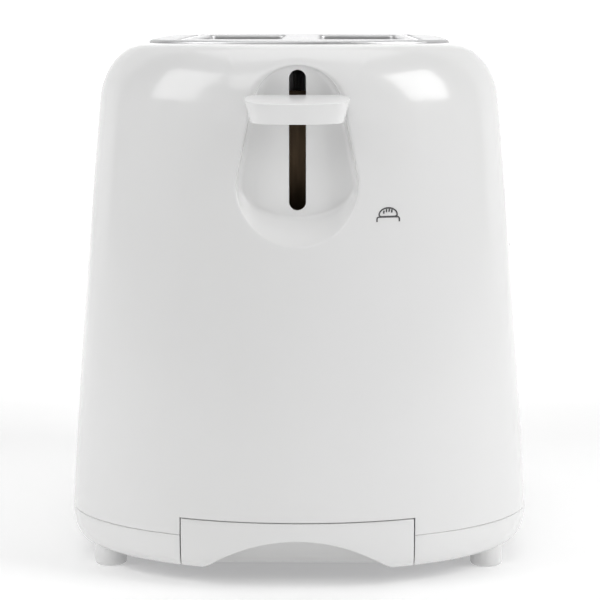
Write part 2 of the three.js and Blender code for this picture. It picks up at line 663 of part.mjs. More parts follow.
// Each rack wire is a bail: a long rail that lies in a slit of the top plate, with a leg at each end.
function rackWires() {
  const top = LEVEL.plateTop - GAP;
  const legBottom = RACK.frameZ + 6 + GAP;
  const outer = RACK.y;
  const inner = RACK.y - RACK.wire;
  const bend = 3;
  const outline = new THREE.Shape();
  outline.moveTo(outer, legBottom);
  outline.absarc(outer - bend, top - bend, bend, 0, Math.PI / 2);
  outline.absarc(bend - outer, top - bend, bend, Math.PI / 2, Math.PI);
  outline.lineTo(-outer, legBottom);
  outline.lineTo(-inner, legBottom);
  outline.lineTo(-inner, top - RACK.wire - 0.8);
  outline.lineTo(0.8 - inner, top - RACK.wire);
  outline.lineTo(inner - 0.8, top - RACK.wire);
  outline.lineTo(inner, top - RACK.wire - 0.8);
  outline.lineTo(inner, legBottom);
  outline.closePath();
  return mirrored((side) => {
    const middle = side * RACK.x;
    const bail = extrude('x', outline, middle - RACK.wire / 2, middle + RACK.wire / 2, 3);
    return piece(`rack_wire_${side > 0 ? 'right' : 'left'}`, bail, polishedSteel());
  });
}

// The strip that carries both bails round the chassis, with an arm down to the slot in the side.
function rackLiftFrame() {
  const right = [[43.5, -84], [56, -84], [56, 84]];
  const inside = [[54, 82], [54, -82], [43.5, -82]];
  const flip = (points) => points.map(([x, y]) => [-x, y]).reverse();
  const top = RACK.frameZ + 6;
  const strip = prism('z', polygon([...right, ...flip(right), ...flip(inside), ...inside]), RACK.frameZ, top);
  const ys = [RACK.sliderY - 2.4, RACK.sliderY + 2.4];
  const arm = [box([55, 60], ys, [top - 2, top]), box([58, 60], ys, [100, top]), box([58, 87], ys, [100, 106])];
  return piece('rack_lift_frame', join([strip, ...arm]), steel());
}

function rackSlider() {
  const outline = roundedRect(RACK.sliderY - 11, RACK.sliderY + 11, RACK.sliderZ, RACK.sliderZ + 11, 4);
  const pocket = box([80, 87.3], [RACK.sliderY - 2.7, RACK.sliderY + 2.7], [99.7, 106.3]);
  return piece('rack_slider', prism('x', outline, 83.2, RACK.sliderX, 3).subtract(pocket), whitePlastic());
}

// ---------------------------------------------------------------- assembly

function group(...members) {
  const assembly = new THREE.Group();
  assembly.add(...members.flat());
  return assembly;
}

const magnet = latch();

const housing = group(outerShell(), baseRim(), basePlate(), topPlate(), feet(), baseScrews(), cordGland());
const chamber = group(chassisPlates(), heatingElements(), reflectors(), breadGuides());
const electrics = group(controlBoard(), powerSwitch(), terminalBlock(), magnet.fixed, controlPanel(),
  controlElectronics(), browningDial(), buttons());
const liftMechanism = group(leverKnob(), leverArm(), carriageBracket(), breadLifters(), magnet.moving,
  guideRod(), rodBrackets(), returnSpring());
const crumbTray = group(trayHandle(), trayPan());
const bunRack = group(rackWires(), rackLiftFrame(), rackSlider());

const toaster = group(housing, chamber, electrics, liftMechanism, crumbTray, bunRack);

export default toaster;
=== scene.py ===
"""The looks of a white two-slot pop-up toaster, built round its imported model.

Metres, +Z up. The lever end faces -Y, the controls are on the -X side, the bun rack's slider on the +X side.
"""

import math

import bmesh
import bpy
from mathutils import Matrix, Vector


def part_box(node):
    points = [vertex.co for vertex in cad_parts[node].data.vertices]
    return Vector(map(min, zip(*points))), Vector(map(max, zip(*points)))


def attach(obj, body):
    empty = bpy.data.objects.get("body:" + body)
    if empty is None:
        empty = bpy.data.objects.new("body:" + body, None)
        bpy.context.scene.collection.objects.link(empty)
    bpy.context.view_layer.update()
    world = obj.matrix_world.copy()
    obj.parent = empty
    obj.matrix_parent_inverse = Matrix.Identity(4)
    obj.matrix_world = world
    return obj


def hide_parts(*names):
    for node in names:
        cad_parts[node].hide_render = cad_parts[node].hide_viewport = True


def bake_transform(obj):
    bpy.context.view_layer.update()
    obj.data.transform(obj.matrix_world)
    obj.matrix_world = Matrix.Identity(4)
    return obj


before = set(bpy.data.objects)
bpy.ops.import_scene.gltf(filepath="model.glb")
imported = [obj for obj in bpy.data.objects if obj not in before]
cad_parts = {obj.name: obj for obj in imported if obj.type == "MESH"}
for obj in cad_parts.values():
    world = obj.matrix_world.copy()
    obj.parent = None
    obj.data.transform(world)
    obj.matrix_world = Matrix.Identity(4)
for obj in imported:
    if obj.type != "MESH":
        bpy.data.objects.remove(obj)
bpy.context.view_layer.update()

MM = 0.001

# ---- sizes taken from the frame

SHELL_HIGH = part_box("outer_shell")[1]
BASE_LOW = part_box("base_rim")[0]
HANDLE_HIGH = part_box("crumb_tray_handle")[1]
KNOB_LOW, KNOB_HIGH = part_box("lever_knob")
PANEL_LOW, PANEL_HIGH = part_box("control_panel")
DIAL_LOW, DIAL_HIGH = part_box("browning_dial")
DIAL_CENTRE = ((DIAL_LOW.y + DIAL_HIGH.y) / 2, (DIAL_LOW.z + DIAL_HIGH.z) / 2)
BUTTON_PLACES = {name: sum((Vector(p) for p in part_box(f"{name}_button")), Vector()) / 2
                 for name in ("defrost", "reheat", "cancel")}
SLIDER_LOW, SLIDER_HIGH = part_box("rack_slider")
SLIDER_Y = (SLIDER_LOW.y + SLIDER_HIGH.y) / 2

# ---- driving dimensions

HALF_WIDTH = SHELL_HIGH.x
HALF_LENGTH = 140 * MM
SPLIT_Z = 19 * MM
CORNER_Z = 173.5 * MM
CORNER_HEIGHT = SHELL_HIGH.z - CORNER_Z
CORNER_WIDTH = 15.5 * MM
BASE_CORNER_WIDTH = 6 * MM
END_DEPTH = 70 * MM
SIDE_BULGE = 3 * MM
TAPER = 0.0574
TAPER_GROWTH = 0.107          # per metre: how fast the taper steepens
WALL = 2.5 * MM
EDGE = 0.4 * MM               # the small radius along a moulding's free edges
COLUMN_SLACK = 0.05 * MM      # tells a column on a border from the next one

RECESS_HALF = 26 * MM         # half the width of the fine columns that hold the recess
RECESS_CENTRE = (0.0, 156 * MM)
FLOOR_Y = -122.5 * MM         # the flat floor of the lever recess
EGG_LOW, EGG_HIGH = 145 * MM, 171 * MM
EGG_LOW_R, EGG_HIGH_R = 21.8 * MM, 16.5 * MM
FOOT_WIDTH, FOOT_TOP, FOOT_RAMP = 0.965, 0.985, 0.56      # the floor's outline, as shares of the rim's
SOFT_FROM, SOFT_OVER = 165 * MM, 15 * MM                  # the heights over which the rim grows softer
RIM_RADIUS, RIM_SOFTER, FLOOR_RADIUS = 0.7 * MM, 1.8 * MM, 2 * MM
LEVER_SLOT_LOW, LEVER_SLOT_HIGH, LEVER_SLOT_HALF = 135.5 * MM, 185.5 * MM, 3 * MM

NOTCH_HALF = HANDLE_HIGH.x + 0.3 * MM
NOTCH_TOP = HANDLE_HIGH.z + 0.3 * MM
PANEL_FACE_X, PANEL_BACK_X = -82.4 * MM, -79 * MM
PANEL_GAP, PANEL_CORNER = 0.3 * MM, 10 * MM
PANEL_OPENING = (PANEL_LOW.y - PANEL_GAP, PANEL_HIGH.y + PANEL_GAP,
                 PANEL_LOW.z - PANEL_GAP, PANEL_HIGH.z + PANEL_GAP)
DIAL_HOLE, BUTTON_HOLE, GLAND_HOLE = 3.5 * MM, 5.4 * MM, 7 * MM
GLAND_Z = 32 * MM
RACK_X, RACK_REACH, RACK_BEND, RACK_WIRE = 45 * MM, 82 * MM, 3 * MM, 1.1 * MM
RACK_SLOT_HALF, RACK_SLOT_LOW, RACK_SLOT_HIGH = 3 * MM, 98 * MM, 140 * MM

# A small rounded edge in steps of 22.5 degrees: how far each row is from the edge, and how far it is sunk.
ROUND = [(EDGE * (1 - math.sin(math.pi / 8 * k)), EDGE * (1 - math.cos(math.pi / 8 * k))) for k in range(5)]


# ---- the body's form

def ellipse_in(width, height, t):
    """How far an elliptical corner has come in at distance t past its start."""
    return width * (1 - math.sqrt(max(0.0, 1 - (t / height) ** 2)))


def body_inset(z):
    """How far the body's side stands in from its widest line at height z."""
    if z < SPLIT_Z:
        return ellipse_in(BASE_CORNER_WIDTH, SPLIT_Z - BASE_LOW.z, SPLIT_Z - z)
    rise = z - SPLIT_Z
    side = TAPER * rise + TAPER_GROWTH * rise * rise
    return side + ellipse_in(CORNER_WIDTH, CORNER_HEIGHT, z - CORNER_Z) if z > CORNER_Z else side


def bulge(s, half_length):
    """How far the long side bows out at distance s from the body's end."""
    return SIDE_BULGE * math.sin(math.pi / 2 * s / half_length)


def end_angle(x, inset):
    """The ellipse angle, nought at the tip, where the end's outline is x from the centre line."""
    flat, depth, half_length = HALF_WIDTH - inset - SIDE_BULGE, END_DEPTH - inset, HALF_LENGTH - inset
    angle = 0.0
    for _ in range(6):
        s = depth * (1 - math.cos(angle))
        angle = math.asin(min(1.0, max(-1.0, (abs(x) - bulge(s, half_length)) / flat)))
    return angle


def end_y(x, inset):
    """Distance of the end's outline from the middle of the body, at x from the centre line."""
    depth = END_DEPTH - inset
    return HALF_LENGTH - inset - depth * (1 - math.cos(end_angle(x, inset)))


def side_x(y, inset):
    """Distance of the long side's outline from the centre line, at y from the middle of the body."""
    depth, half_length = END_DEPTH - inset, HALF_LENGTH - inset
    s = half_length - abs(y)
    reach = math.sqrt(max(0.0, 1 - ((depth - s) / depth) ** 2)) if s < depth else 1.0
    return (HALF_WIDTH - inset - SIDE_BULGE) * reach + bulge(s, half_length)


# A column runs up the body at one place of its outline: ("x", distance) near an end's middle,
# ("end", share) round the rest of the end, or ("side", share) along the long side.
END_X = [RECESS_HALF * i / 16 for i in range(17)] + [30 * MM, 34 * MM, 38 * MM]
END_X += [NOTCH_HALF + distance for distance, _ in reversed(ROUND)] + [46 * MM]
END_COLUMNS = 14
SIDE_COLUMNS = 14
QUARTER = ([("x", x) for x in END_X]
           + [("end", (i + 1) / END_COLUMNS) for i in range(END_COLUMNS)]
           + [("side", (i + 1) / SIDE_COLUMNS) for i in range(SIDE_COLUMNS)])


def all_columns():
    """Every column, counter-clockwise seen from above, from the middle of the lever end."""
    inner = QUARTER[1:-1]
    return ([(kind, v, 1, -1) for kind, v in QUARTER] + [(kind, v, 1, 1) for kind, v in reversed(inner)]
            + [(kind, v, -1, 1) for kind, v in QUARTER] + [(kind, v, -1, -1) for kind, v in reversed(inner)])


COLUMNS = all_columns()


def column_point(column, inset, z):
    """Where a column stands on the outline drawn in by inset, at height z."""
    kind, value, sx, sy = column
    depth, half_length = END_DEPTH - inset, HALF_LENGTH - inset
    if kind == "x":
        return Vector((sx * value, sy * end_y(value, inset), z))
    if kind == "end":
        first = end_angle(END_X[-1], inset)
        angle = first + value * (math.pi / 2 - first)
        s = depth * (1 - math.cos(angle))
        x = (HALF_WIDTH - inset - SIDE_BULGE) * math.sin(angle) + bulge(s, half_length)
        return Vector((sx * x, sy * (half_length - s), z))
    y = (1 - value) * (half_length - depth)
    return Vector((sx * side_x(y, inset), sy * y, z))


# ---- mesh building

class Skin:
    """A wall: an outer and an inner skin with the same faces, closed between them along every edge."""

    def __init__(self):
        self.outer, self.inner, self.faces = [], [], []

    def point(self, outer, inner):
        self.outer.append(Vector(outer))
        self.inner.append(Vector(inner))
        return len(self.outer) - 1

    def strip(self, near, far, closed=True):
        """Quads between two rows of points; far lies above near when the rows run counter-clockwise."""
        count = len(near) if closed else len(near) - 1
        for i in range(count):
            j = (i + 1) % len(near)
            self.faces.append((near[i], near[j], far[j], far[i]))

    def strips(self, rows, closed=True):
        for near, far in zip(rows, rows[1:]):
            self.strip(near, far, closed)

    def object(self, name):
        count = len(self.outer)
        edges = {(a, face[(i + 1) % len(face)]) for face in self.faces for i, a in enumerate(face)}
        rims = [(b, a, a + count, b + count) for a, b in edges if (b, a) not in edges]
        inner = [tuple(i + count for i in reversed(face)) for face in self.faces]
        return mesh_object(name, self.outer + self.inner, self.faces + inner + rims)


def mesh_object(name, points, faces):
    mesh = bpy.data.meshes.new(name)
    mesh.from_pydata([tuple(p) for p in points], [], faces)
    obj = bpy.data.objects.new(name, mesh)
    bpy.context.scene.collection.objects.link(obj)
    tidy_mesh(obj)
    return obj


def tidy_mesh(obj):
    """Merges doubles, drops loose points and turns every face outwards."""
    bm = bmesh.new()
    bm.from_mesh(obj.data)
    bmesh.ops.remove_doubles(bm, verts=bm.verts, dist=0.002 * MM)
    bmesh.ops.delete(bm, geom=[v for v in bm.verts if not v.link_faces], context="VERTS")
    bmesh.ops.recalc_face_normals(bm, faces=bm.faces)
    if bm.calc_volume(signed=True) < 0:
        bmesh.ops.reverse_faces(bm, faces=bm.faces)
    bm.to_mesh(obj.data)
    bm.free()


def combine(obj, tool, operation):
    """Cuts a tool from a piece (DIFFERENCE) or adds it (UNION)."""
    modifier = obj.modifiers.new("combine", "BOOLEAN")
    modifier.operation = operation
    modifier.solver = "EXACT"
    modifier.object = tool
    bpy.context.view_layer.update()
    mesh = bpy.data.meshes.new_from_object(obj.evaluated_get(bpy.context.evaluated_depsgraph_get()))
    obj.modifiers.clear()
    obj.data = mesh
    bpy.data.objects.remove(tool)
    tidy_mesh(obj)


def smooth(obj, sharp=35):
    obj.data.shade_smooth()
    obj.data.set_sharp_from_angle(angle=math.radians(sharp))
    return obj


def round_edges(obj, width):
    """Rounds the edges that turn by more than 40 degrees."""
    modifier = obj.modifiers.new("round", "BEVEL")
    modifier.width = width
    modifier.segments = 2
    modifier.limit_method = "ANGLE"
    modifier.angle_limit = math.radians(40)


def place(obj, body, slot, material, *nodes):
    """Gives a finished piece its body and material, and the CAD nodes that it stands for. The slot argument
    is not used.
    """
    obj.data.materials.clear()
    obj.data.materials.append(material)
    if body:
        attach(obj, body)
    if nodes:
        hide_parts(*nodes)


def sleeve(rings, capped=True):
    """The faces that join rings of point numbers, one to the next, with a cap on each end."""
    faces = []
    for low, high in zip(rings, rings[1:]):
        for i in range(len(low)):
            j = (i + 1) % len(low)
            faces.append((low[i], low[j], high[j], high[i]))
    return faces + [tuple(reversed(rings[0])), tuple(rings[-1])] if capped else faces


def turned(name, profile, axis, centre, segments, radius_at=None):
    """A profile of (radius, height) points turned round an axis; a solid ring where it ends as it began."""
    along = Vector(axis).normalized()
    across = along.orthogonal().normalized()
    third = along.cross(across)
    points, rings = [], []
    for row, (radius, height) in enumerate(profile):
        rings.append(range(len(points), len(points) + segments))
        for i in range(segments):
            angle = 2 * math.pi * i / segments
            r = radius_at(row, angle, radius) if radius_at else radius
            spoke = across * math.cos(angle) + third * math.sin(angle)
            points.append(Vector(centre) + along * height + spoke * r)
    return smooth(mesh_object(name, points, sleeve(rings, profile[0] != profile[-1])))


def rounded_rect(u0, u1, v0, v1, radius, steps=8):
    """Counter-clockwise points of a rectangle with round corners."""
    corners = [(u1 - radius, v0 + radius, -90), (u1 - radius, v1 - radius, 0),
               (u0 + radius, v1 - radius, 90), (u0 + radius, v0 + radius, 180)]
    points = []
    for cu, cv, start in corners:
        for i in range(steps + 1):
            angle = math.radians(start + 90 * i / steps)
            points.append((cu + radius * math.cos(angle), cv + radius * math.sin(angle)))
    return points


def circle(u, v, radius, steps=40):
    angles = [2 * math.pi * i / steps for i in range(steps)]
    return [(u + radius * math.cos(a), v + radius * math.sin(a)) for a in angles]


def offset(outline, distance):
    """A smooth closed counter-clockwise outline moved outwards."""
    moved = []
    for i, (u, v) in enumerate(outline):
        (u0, v0), (u1, v1) = outline[i - 1], outline[(i + 1) % len(outline)]
        length = max(math.dist((u0, v0), (u1, v1)), 1e-12)
        moved.append((u + distance * (v1 - v0) / length, v - distance * (u1 - u0) / length))
    return moved


def in_mm(rows):
    """Rows of numbers in millimetres, turned into metres."""
    return [tuple(value * MM for value in row) for row in rows]


def quarter(steps):
    """Angles from nought to a right angle."""
    return [math.pi / 2 * k / steps for k in range(steps + 1)]


def partway(start, end, share):
    return tuple(p + (q - p) * share for p, q in zip(start, end))


def staple(middle, reach, heights, top, bend, steps):
    """A staple with round corners, as (across, up) points: up one leg by its heights, over and down."""
    leg = [(-reach, height) for height in heights]
    leg += [(-reach + bend * (1 - math.cos(a)), top - bend + bend * math.sin(a)) for a in quarter(steps)]
    return [(middle + u, v) for u, v in leg] + [(middle - u, v) for u, v in reversed(leg)]


def axis_point(axis, u, v, w):
    """(u, v) in the plane across an axis, at w along it: (y, z), (x, z) or (x, y)."""
    return {"x": (w, u, v), "y": (u, w, v), "z": (u, v, w)}[axis]


def slab(name, outline, axis, low, high, radius, shape=axis_point):
    """A solid between low and high along an axis, with round edges; shape may bend where each point goes."""
    scale = radius / EDGE
    levels = [(low + sunk * scale, away * scale) for away, sunk in ROUND]
    levels += [(high - sunk * scale, away * scale) for away, sunk in reversed(ROUND)]
    points, rings = [], []
    for level, away in levels:
        rings.append(range(len(points), len(points) + len(outline)))
        points += [shape(axis, u, v, level) for u, v in offset(outline, -away)]
    return smooth(mesh_object(name, points, sleeve(rings)))


def box_slab(name, xs, ys, zs, radius):
    """An upright block with round edges and corners."""
    corner = min(2.2 * radius, (xs[1] - xs[0]) / 2.2, (ys[1] - ys[0]) / 2.2)
    return slab(name, rounded_rect(*xs, *ys, corner, 4), "z", *zs, radius)


def pierced_sheet(name, loops):
    """A flat sheet with holes. Each loop is a list of rings of points, from the front to the back."""
    bm = bmesh.new()
    fronts, backs = [], []
    for rings in loops:
        made = [[bm.verts.new(p) for p in ring] for ring in rings]
        for near, far in zip(made, made[1:]):
            for i in range(len(near)):
                j = (i + 1) % len(near)
                bm.faces.new((near[i], near[j], far[j], far[i]))
        fronts.append(made[0])
        backs.append(made[-1])
    for side in (fronts, backs):
        edges = [bm.edges.get((ring[i - 1], ring[i])) for ring in side for i in range(len(ring))]
        bmesh.ops.triangle_fill(bm, use_beauty=True, use_dissolve=False, edges=edges)
    mesh = bpy.data.meshes.new(name)
    bm.to_mesh(mesh)
    bm.free()
    obj = bpy.data.objects.new(name, mesh)
    bpy.context.scene.collection.objects.link(obj)
    tidy_mesh(obj)
    return smooth(obj)


def tube(name, paths, radius, sides, closed=False):
    """Round wire along each path of points, all in one mesh."""
    points, faces = [], []
    for path in paths:
        path = [Vector(p) for p in path]
        count = len(path)
        normal = (path[1] - path[0]).orthogonal().normalized()
        rings = []
        for i, p in enumerate(path):
            before = path[(i - 1) % count] if closed or i else p
            after = path[(i + 1) % count] if closed or i < count - 1 else p
            along = (after - before).normalized()
            normal = (normal - along * normal.dot(along)).normalized()
            side = along.cross(normal)
            rings.append(range(len(points), len(points) + sides))
            for k in range(sides):
                angle = 2 * math.pi * k / sides
                points.append(p + (normal * math.cos(angle) + side * math.sin(angle)) * radius)
        faces += sleeve(rings + [rings[0]], False) if closed else sleeve(rings)
    return smooth(mesh_object(name, points, faces))


def curve(a, b, c, steps):
    """Points of a quadratic curve from a to c, without a itself."""
    a, b, c = Vector(a), Vector(b), Vector(c)
    return [a.lerp(b, t).lerp(b.lerp(c, t), t) for t in ((i + 1) / steps for i in range(steps))]


# ---- walls that follow the body

def wall_at(z):
    """(outer inset, outer z, inner inset, inner z) of the wall whose outside is at height z."""
    step = 0.02 * MM
    low, high = body_inset(z - step), body_inset(min(z, SHELL_HIGH.z - step) + step)
    run = Vector((high - low, 2 * step)).normalized()
    inset = body_inset(z)
    return inset, z, inset + WALL * run.y, z - WALL * run.x


def end_pair(x, z, sink=0.0, sy=-1):
    """Outer and inner points of the wall at one end of the body; sink draws the outer one in."""
    inset, z_out, inset_in, z_in = wall_at(z)
    outer = Vector((x, sy * end_y(x, inset), z_out))
    inner = Vector((x, sy * end_y(x, inset_in), z_in))
    return outer.lerp(inner, sink / WALL), inner


def side_pair(y, z, sink=0.0, sx=1):
    inset, z_out, inset_in, z_in = wall_at(z)
    outer = Vector((sx * side_x(y, inset), y, z_out))
    inner = Vector((sx * side_x(y, inset_in), y, z_in))
    return outer.lerp(inner, sink / WALL), inner


def egg(low_z, low_r, high_z, high_r, steps=360):
    """The recess's outline as (x, z) points, counter-clockwise from the bottom."""
    tilt = math.asin((low_r - high_r) / (high_z - low_z))
    points = []
    for i in range(steps):
        angle = -math.pi / 2 + 2 * math.pi * i / steps
        centre, radius = (high_z, high_r) if tilt < angle < math.pi - tilt else (low_z, low_r)
        points.append((radius * math.cos(angle), centre + radius * math.sin(angle)))
    return points


def toward(outline, centre, targets):
    """Where the rays from centre through each target cross a closed outline round it."""
    found = []
    for u, v in targets:
        du, dv = u - centre[0], v - centre[1]
        for i in range(len(outline)):
            (u0, v0), (u1, v1) = outline[i - 1], outline[i]
            side0 = du * (v0 - centre[1]) - dv * (u0 - centre[0])
            side1 = du * (v1 - centre[1]) - dv * (u1 - centre[0])
            if (side0 <= 0 < side1) or (side1 < 0 <= side0):
                share = side0 / (side0 - side1)
                hit = (u0 + (u1 - u0) * share, v0 + (v1 - v0) * share)
                if (hit[0] - centre[0]) * du + (hit[1] - centre[1]) * dv > 0:
                    found.append(hit)
                    break
    return found


# ---- outer shell

SHELL_BOTTOM = SPLIT_Z + 0.03 * MM
WALL_ROWS = 36
CORNER_ROWS = 16
ROWS = [SHELL_BOTTOM + distance for distance, _ in reversed(ROUND)] + [22 * MM]
ROWS += [NOTCH_TOP + distance for distance, _ in reversed(ROUND)]
ROWS += [ROWS[-1] + (CORNER_Z - ROWS[-1]) * (i + 1) / WALL_ROWS for i in range(WALL_ROWS)]
ROWS += [CORNER_Z + CORNER_HEIGHT * math.sin(math.pi / 2 * (i + 1) / CORNER_ROWS) for i in range(CORNER_ROWS)]


def nearest_row(z):
    return min(range(len(ROWS)), key=lambda i: abs(ROWS[i] - z))


def rounding(distance):
    """How far a surface sinks at this distance from a rounded free edge."""
    if distance >= EDGE:
        return 0.0
    return EDGE - math.sqrt(EDGE ** 2 - (EDGE - max(0.0, distance)) ** 2)


def shell_sink(column, z):
    """The rounding along the shell's bottom edge and round the crumb tray's notch."""
    kind, x, _, sy = column
    sink = rounding(z - SHELL_BOTTOM)
    if kind == "x" and sy < 0:
        across, above = x - NOTCH_HALF, z - NOTCH_TOP
        gap = math.hypot(max(across, 0), max(above, 0)) if across > -EDGE or above > -EDGE else EDGE
        sink = max(sink, rounding(gap))
    return sink


def border_of(grid, rows, columns):
    """The points round a block of the grid, counter-clockwise from outside, from the middle of its bottom."""
    bottom = [grid[rows[0]][c] for c in columns]
    right = [grid[r][columns[-1]] for r in range(rows[0] + 1, rows[1])]
    top = [grid[rows[1]][c] for c in reversed(columns)]
    left = [grid[r][columns[0]] for r in reversed(range(rows[0] + 1, rows[1]))]
    loop = bottom + right + top + left
    start = len(columns) // 2
    return loop[start:] + loop[:start]


def column_range(test):
    """Neighbouring columns, in order round the body, whose place at the widest line passes a test."""
    count = len(COLUMNS)
    found = {i for i in range(count) if test(*column_point(COLUMNS[i], 0.0, 0.0)[:2])}
    start = next(i for i in found if (i - 1) % count not in found)
    return [(start + i) % count for i in range(len(found))]


def fill_to_hole(skin, border, flat, hole, pair_at):
    """Rings from a border loop to a hole with a rounded rim, both in the face's own (u, v)."""
    loop = border
    start = offset(hole, EDGE)
    for share in (0.25, 0.5, 0.75, 0.92):
        loop = add_ring(skin, loop, [pair_at(*partway(p, q, share)) for p, q in zip(flat, start)])
    for distance, sunk in ROUND:
        loop = add_ring(skin, loop, [pair_at(u, v, sunk) for u, v in offset(hole, distance)])


def add_ring(skin, loop, pairs):
    ring = [skin.point(*pair) for pair in pairs]
    skin.strip(loop, ring)
    return ring


def add_hole(skin, border, outline, pick, pair_at):
    flat = [pick(skin.outer[i]) for i in border]
    middle = tuple(sum(p[k] for p in outline) / len(outline) for k in (0, 1))
    fill_to_hole(skin, border, flat, toward(outline, middle, flat), pair_at)


def slot_outline(across, up):
    """The lever slot's outline, from the middle of its bottom, with across points on each round end
    and up points on each straight side."""
    low, high = LEVER_SLOT_LOW + LEVER_SLOT_HALF, LEVER_SLOT_HIGH - LEVER_SLOT_HALF
    angles = [math.pi * i / (across - 1) for i in range(across)]
    heights = [low + (high - low) * (i + 1) / (up + 1) for i in range(up)]
    radius = LEVER_SLOT_HALF
    points = [(-radius * math.cos(a), low - radius * math.sin(a)) for a in angles]
    points += [(radius, z) for z in heights]
    points += [(radius * math.cos(a), high + radius * math.sin(a)) for a in angles]
    points += [(-radius, z) for z in reversed(heights)]
    return points[across // 2:] + points[:across // 2]


def recess_section(softness, brink, rim, foot, slot, back_rim, back_foot):
    """Pairs of front and back points from the recess's rim, down its wall and over its floor to the slot."""
    start, edge = end_pair(*brink)[0], end_pair(*rim)[0]
    base = Vector((foot[0], FLOOR_Y, foot[1]))
    target = Vector((slot[0], FLOOR_Y, slot[1]))
    drop, across = base - edge, target - base
    floor_radius = FLOOR_RADIUS * (1 + softness)
    first_wall = edge + drop.normalized() * min(RIM_RADIUS + RIM_SOFTER * softness, drop.length * 0.45)
    last_wall = base - drop.normalized() * min(floor_radius, drop.length * 0.45)
    floor_start = base + across.normalized() * min(floor_radius, across.length * 0.5)
    front = [start] + curve(start, edge, first_wall, 5)
    front += [first_wall.lerp(last_wall, share) for share in (0.33, 0.67, 1.0)]
    front += curve(last_wall, base, floor_start, 6)
    back_start = end_pair(*back_rim)[1]
    back_base = Vector((back_foot[0], FLOOR_Y + WALL, back_foot[1]))
    back = [back_start.lerp(back_base, k / (len(front) - 1)) for k in range(len(front))]
    for share in (0.3, 0.65, 1.0):
        front.append(floor_start.lerp(target, share))
        back.append(back_base.lerp(target + Vector((0, WALL, 0)), share))
    return list(zip(front, back))


def add_recess(skin, border, columns_across):
    """The egg-shaped recess: a soft rim, a wall that ramps at the bottom, a flat floor and the lever slot."""
    flat = [(skin.outer[i].x, skin.outer[i].z) for i in border]
    rim = toward(egg(EGG_LOW, EGG_LOW_R, EGG_HIGH, EGG_HIGH_R), RECESS_CENTRE, flat)
    foot = [(FOOT_WIDTH * x, EGG_LOW + (z - EGG_LOW) * (FOOT_TOP if z > EGG_LOW else FOOT_RAMP))
            for x, z in rim]
    softness = [min(1.0, max(0.0, (z - SOFT_FROM) / SOFT_OVER)) for _, z in rim]
    metre_out = offset(rim, 1.0)
    brink = [partway(p, q, RIM_RADIUS + RIM_SOFTER * soft) for p, q, soft in zip(rim, metre_out, softness)]
    loop = border
    for share in (0.3, 0.6, 0.85):
        loop = add_ring(skin, loop, [end_pair(*partway(p, q, share)) for p, q in zip(flat, brink)])
    slot = slot_outline(columns_across, (len(border) - 2 * columns_across) // 2)
    slot_edge, rim_back, foot_back = offset(slot, EDGE), offset(rim, WALL * 0.6), offset(foot, WALL * 0.8)
    sections = zip(softness, brink, rim, foot, slot_edge, rim_back, foot_back)
    for pairs in zip(*(recess_section(*section) for section in sections)):
        loop = add_ring(skin, loop, pairs)
    for distance, sunk in ROUND[1:]:
        edge = offset(slot, distance)
        loop = add_ring(skin, loop, [((x, FLOOR_Y + sunk, z), (x, FLOOR_Y + WALL, z)) for x, z in edge])


def shell_grid(skin):
    """The plain shell's points, row by row up its wall and over into the seat of the top plate."""
    grid = []
    for z in ROWS:
        inset, z_out, inset_in, z_in = wall_at(z)
        lift = 0.15 * MM * max(0.0, 1 - (z - SHELL_BOTTOM) / (20 * MM))
        row = []
        for column in COLUMNS:
            outer = column_point(column, inset, z_out)
            inner = column_point(column, inset_in, z_in + lift)
            row.append(skin.point(outer.lerp(inner, shell_sink(column, z) / WALL), inner))
        grid.append(row)
    seat = in_mm([(29.4, 194.33, 29.9, 192.0), (29.6, 194.1, 30.4, 191.6),
                  (29.6, 193.1, 31, 191.4), (33, 193.1, 33, 191.4)])
    for inset, z_out, inset_in, z_in in seat:
        row = [skin.point(column_point(c, inset, z_out), column_point(c, inset_in, z_in)) for c in COLUMNS]
        grid.append(row)
    return grid


def shell_blocks():
    """The blocks left out of the plain grid for openings: each one's columns, and its first and last row."""
    y0, y1, z0, z1 = PANEL_OPENING
    places = {
        "recess": (lambda x, y: y < 0 and abs(x) < RECESS_HALF + COLUMN_SLACK, 117 * MM, 191.6 * MM),
        "panel": (lambda x, y: x < 0 and y0 - 8 * MM < y < y1 + 8 * MM, z0 - 5 * MM, z1 + 5 * MM),
        "rack": (lambda x, y: x > 0 and abs(y - SLIDER_Y) < 11 * MM, 93 * MM, 145 * MM),
        "gland": (lambda x, y: y > 0 and abs(x) < 14 * MM, 22 * MM, 43 * MM),
        "notch": (lambda x, y: y < 0 and abs(x) < NOTCH_HALF + COLUMN_SLACK, SHELL_BOTTOM, NOTCH_TOP),
    }
    return {name: (column_range(test), (nearest_row(low), nearest_row(high)))
            for name, (test, low, high) in places.items()}


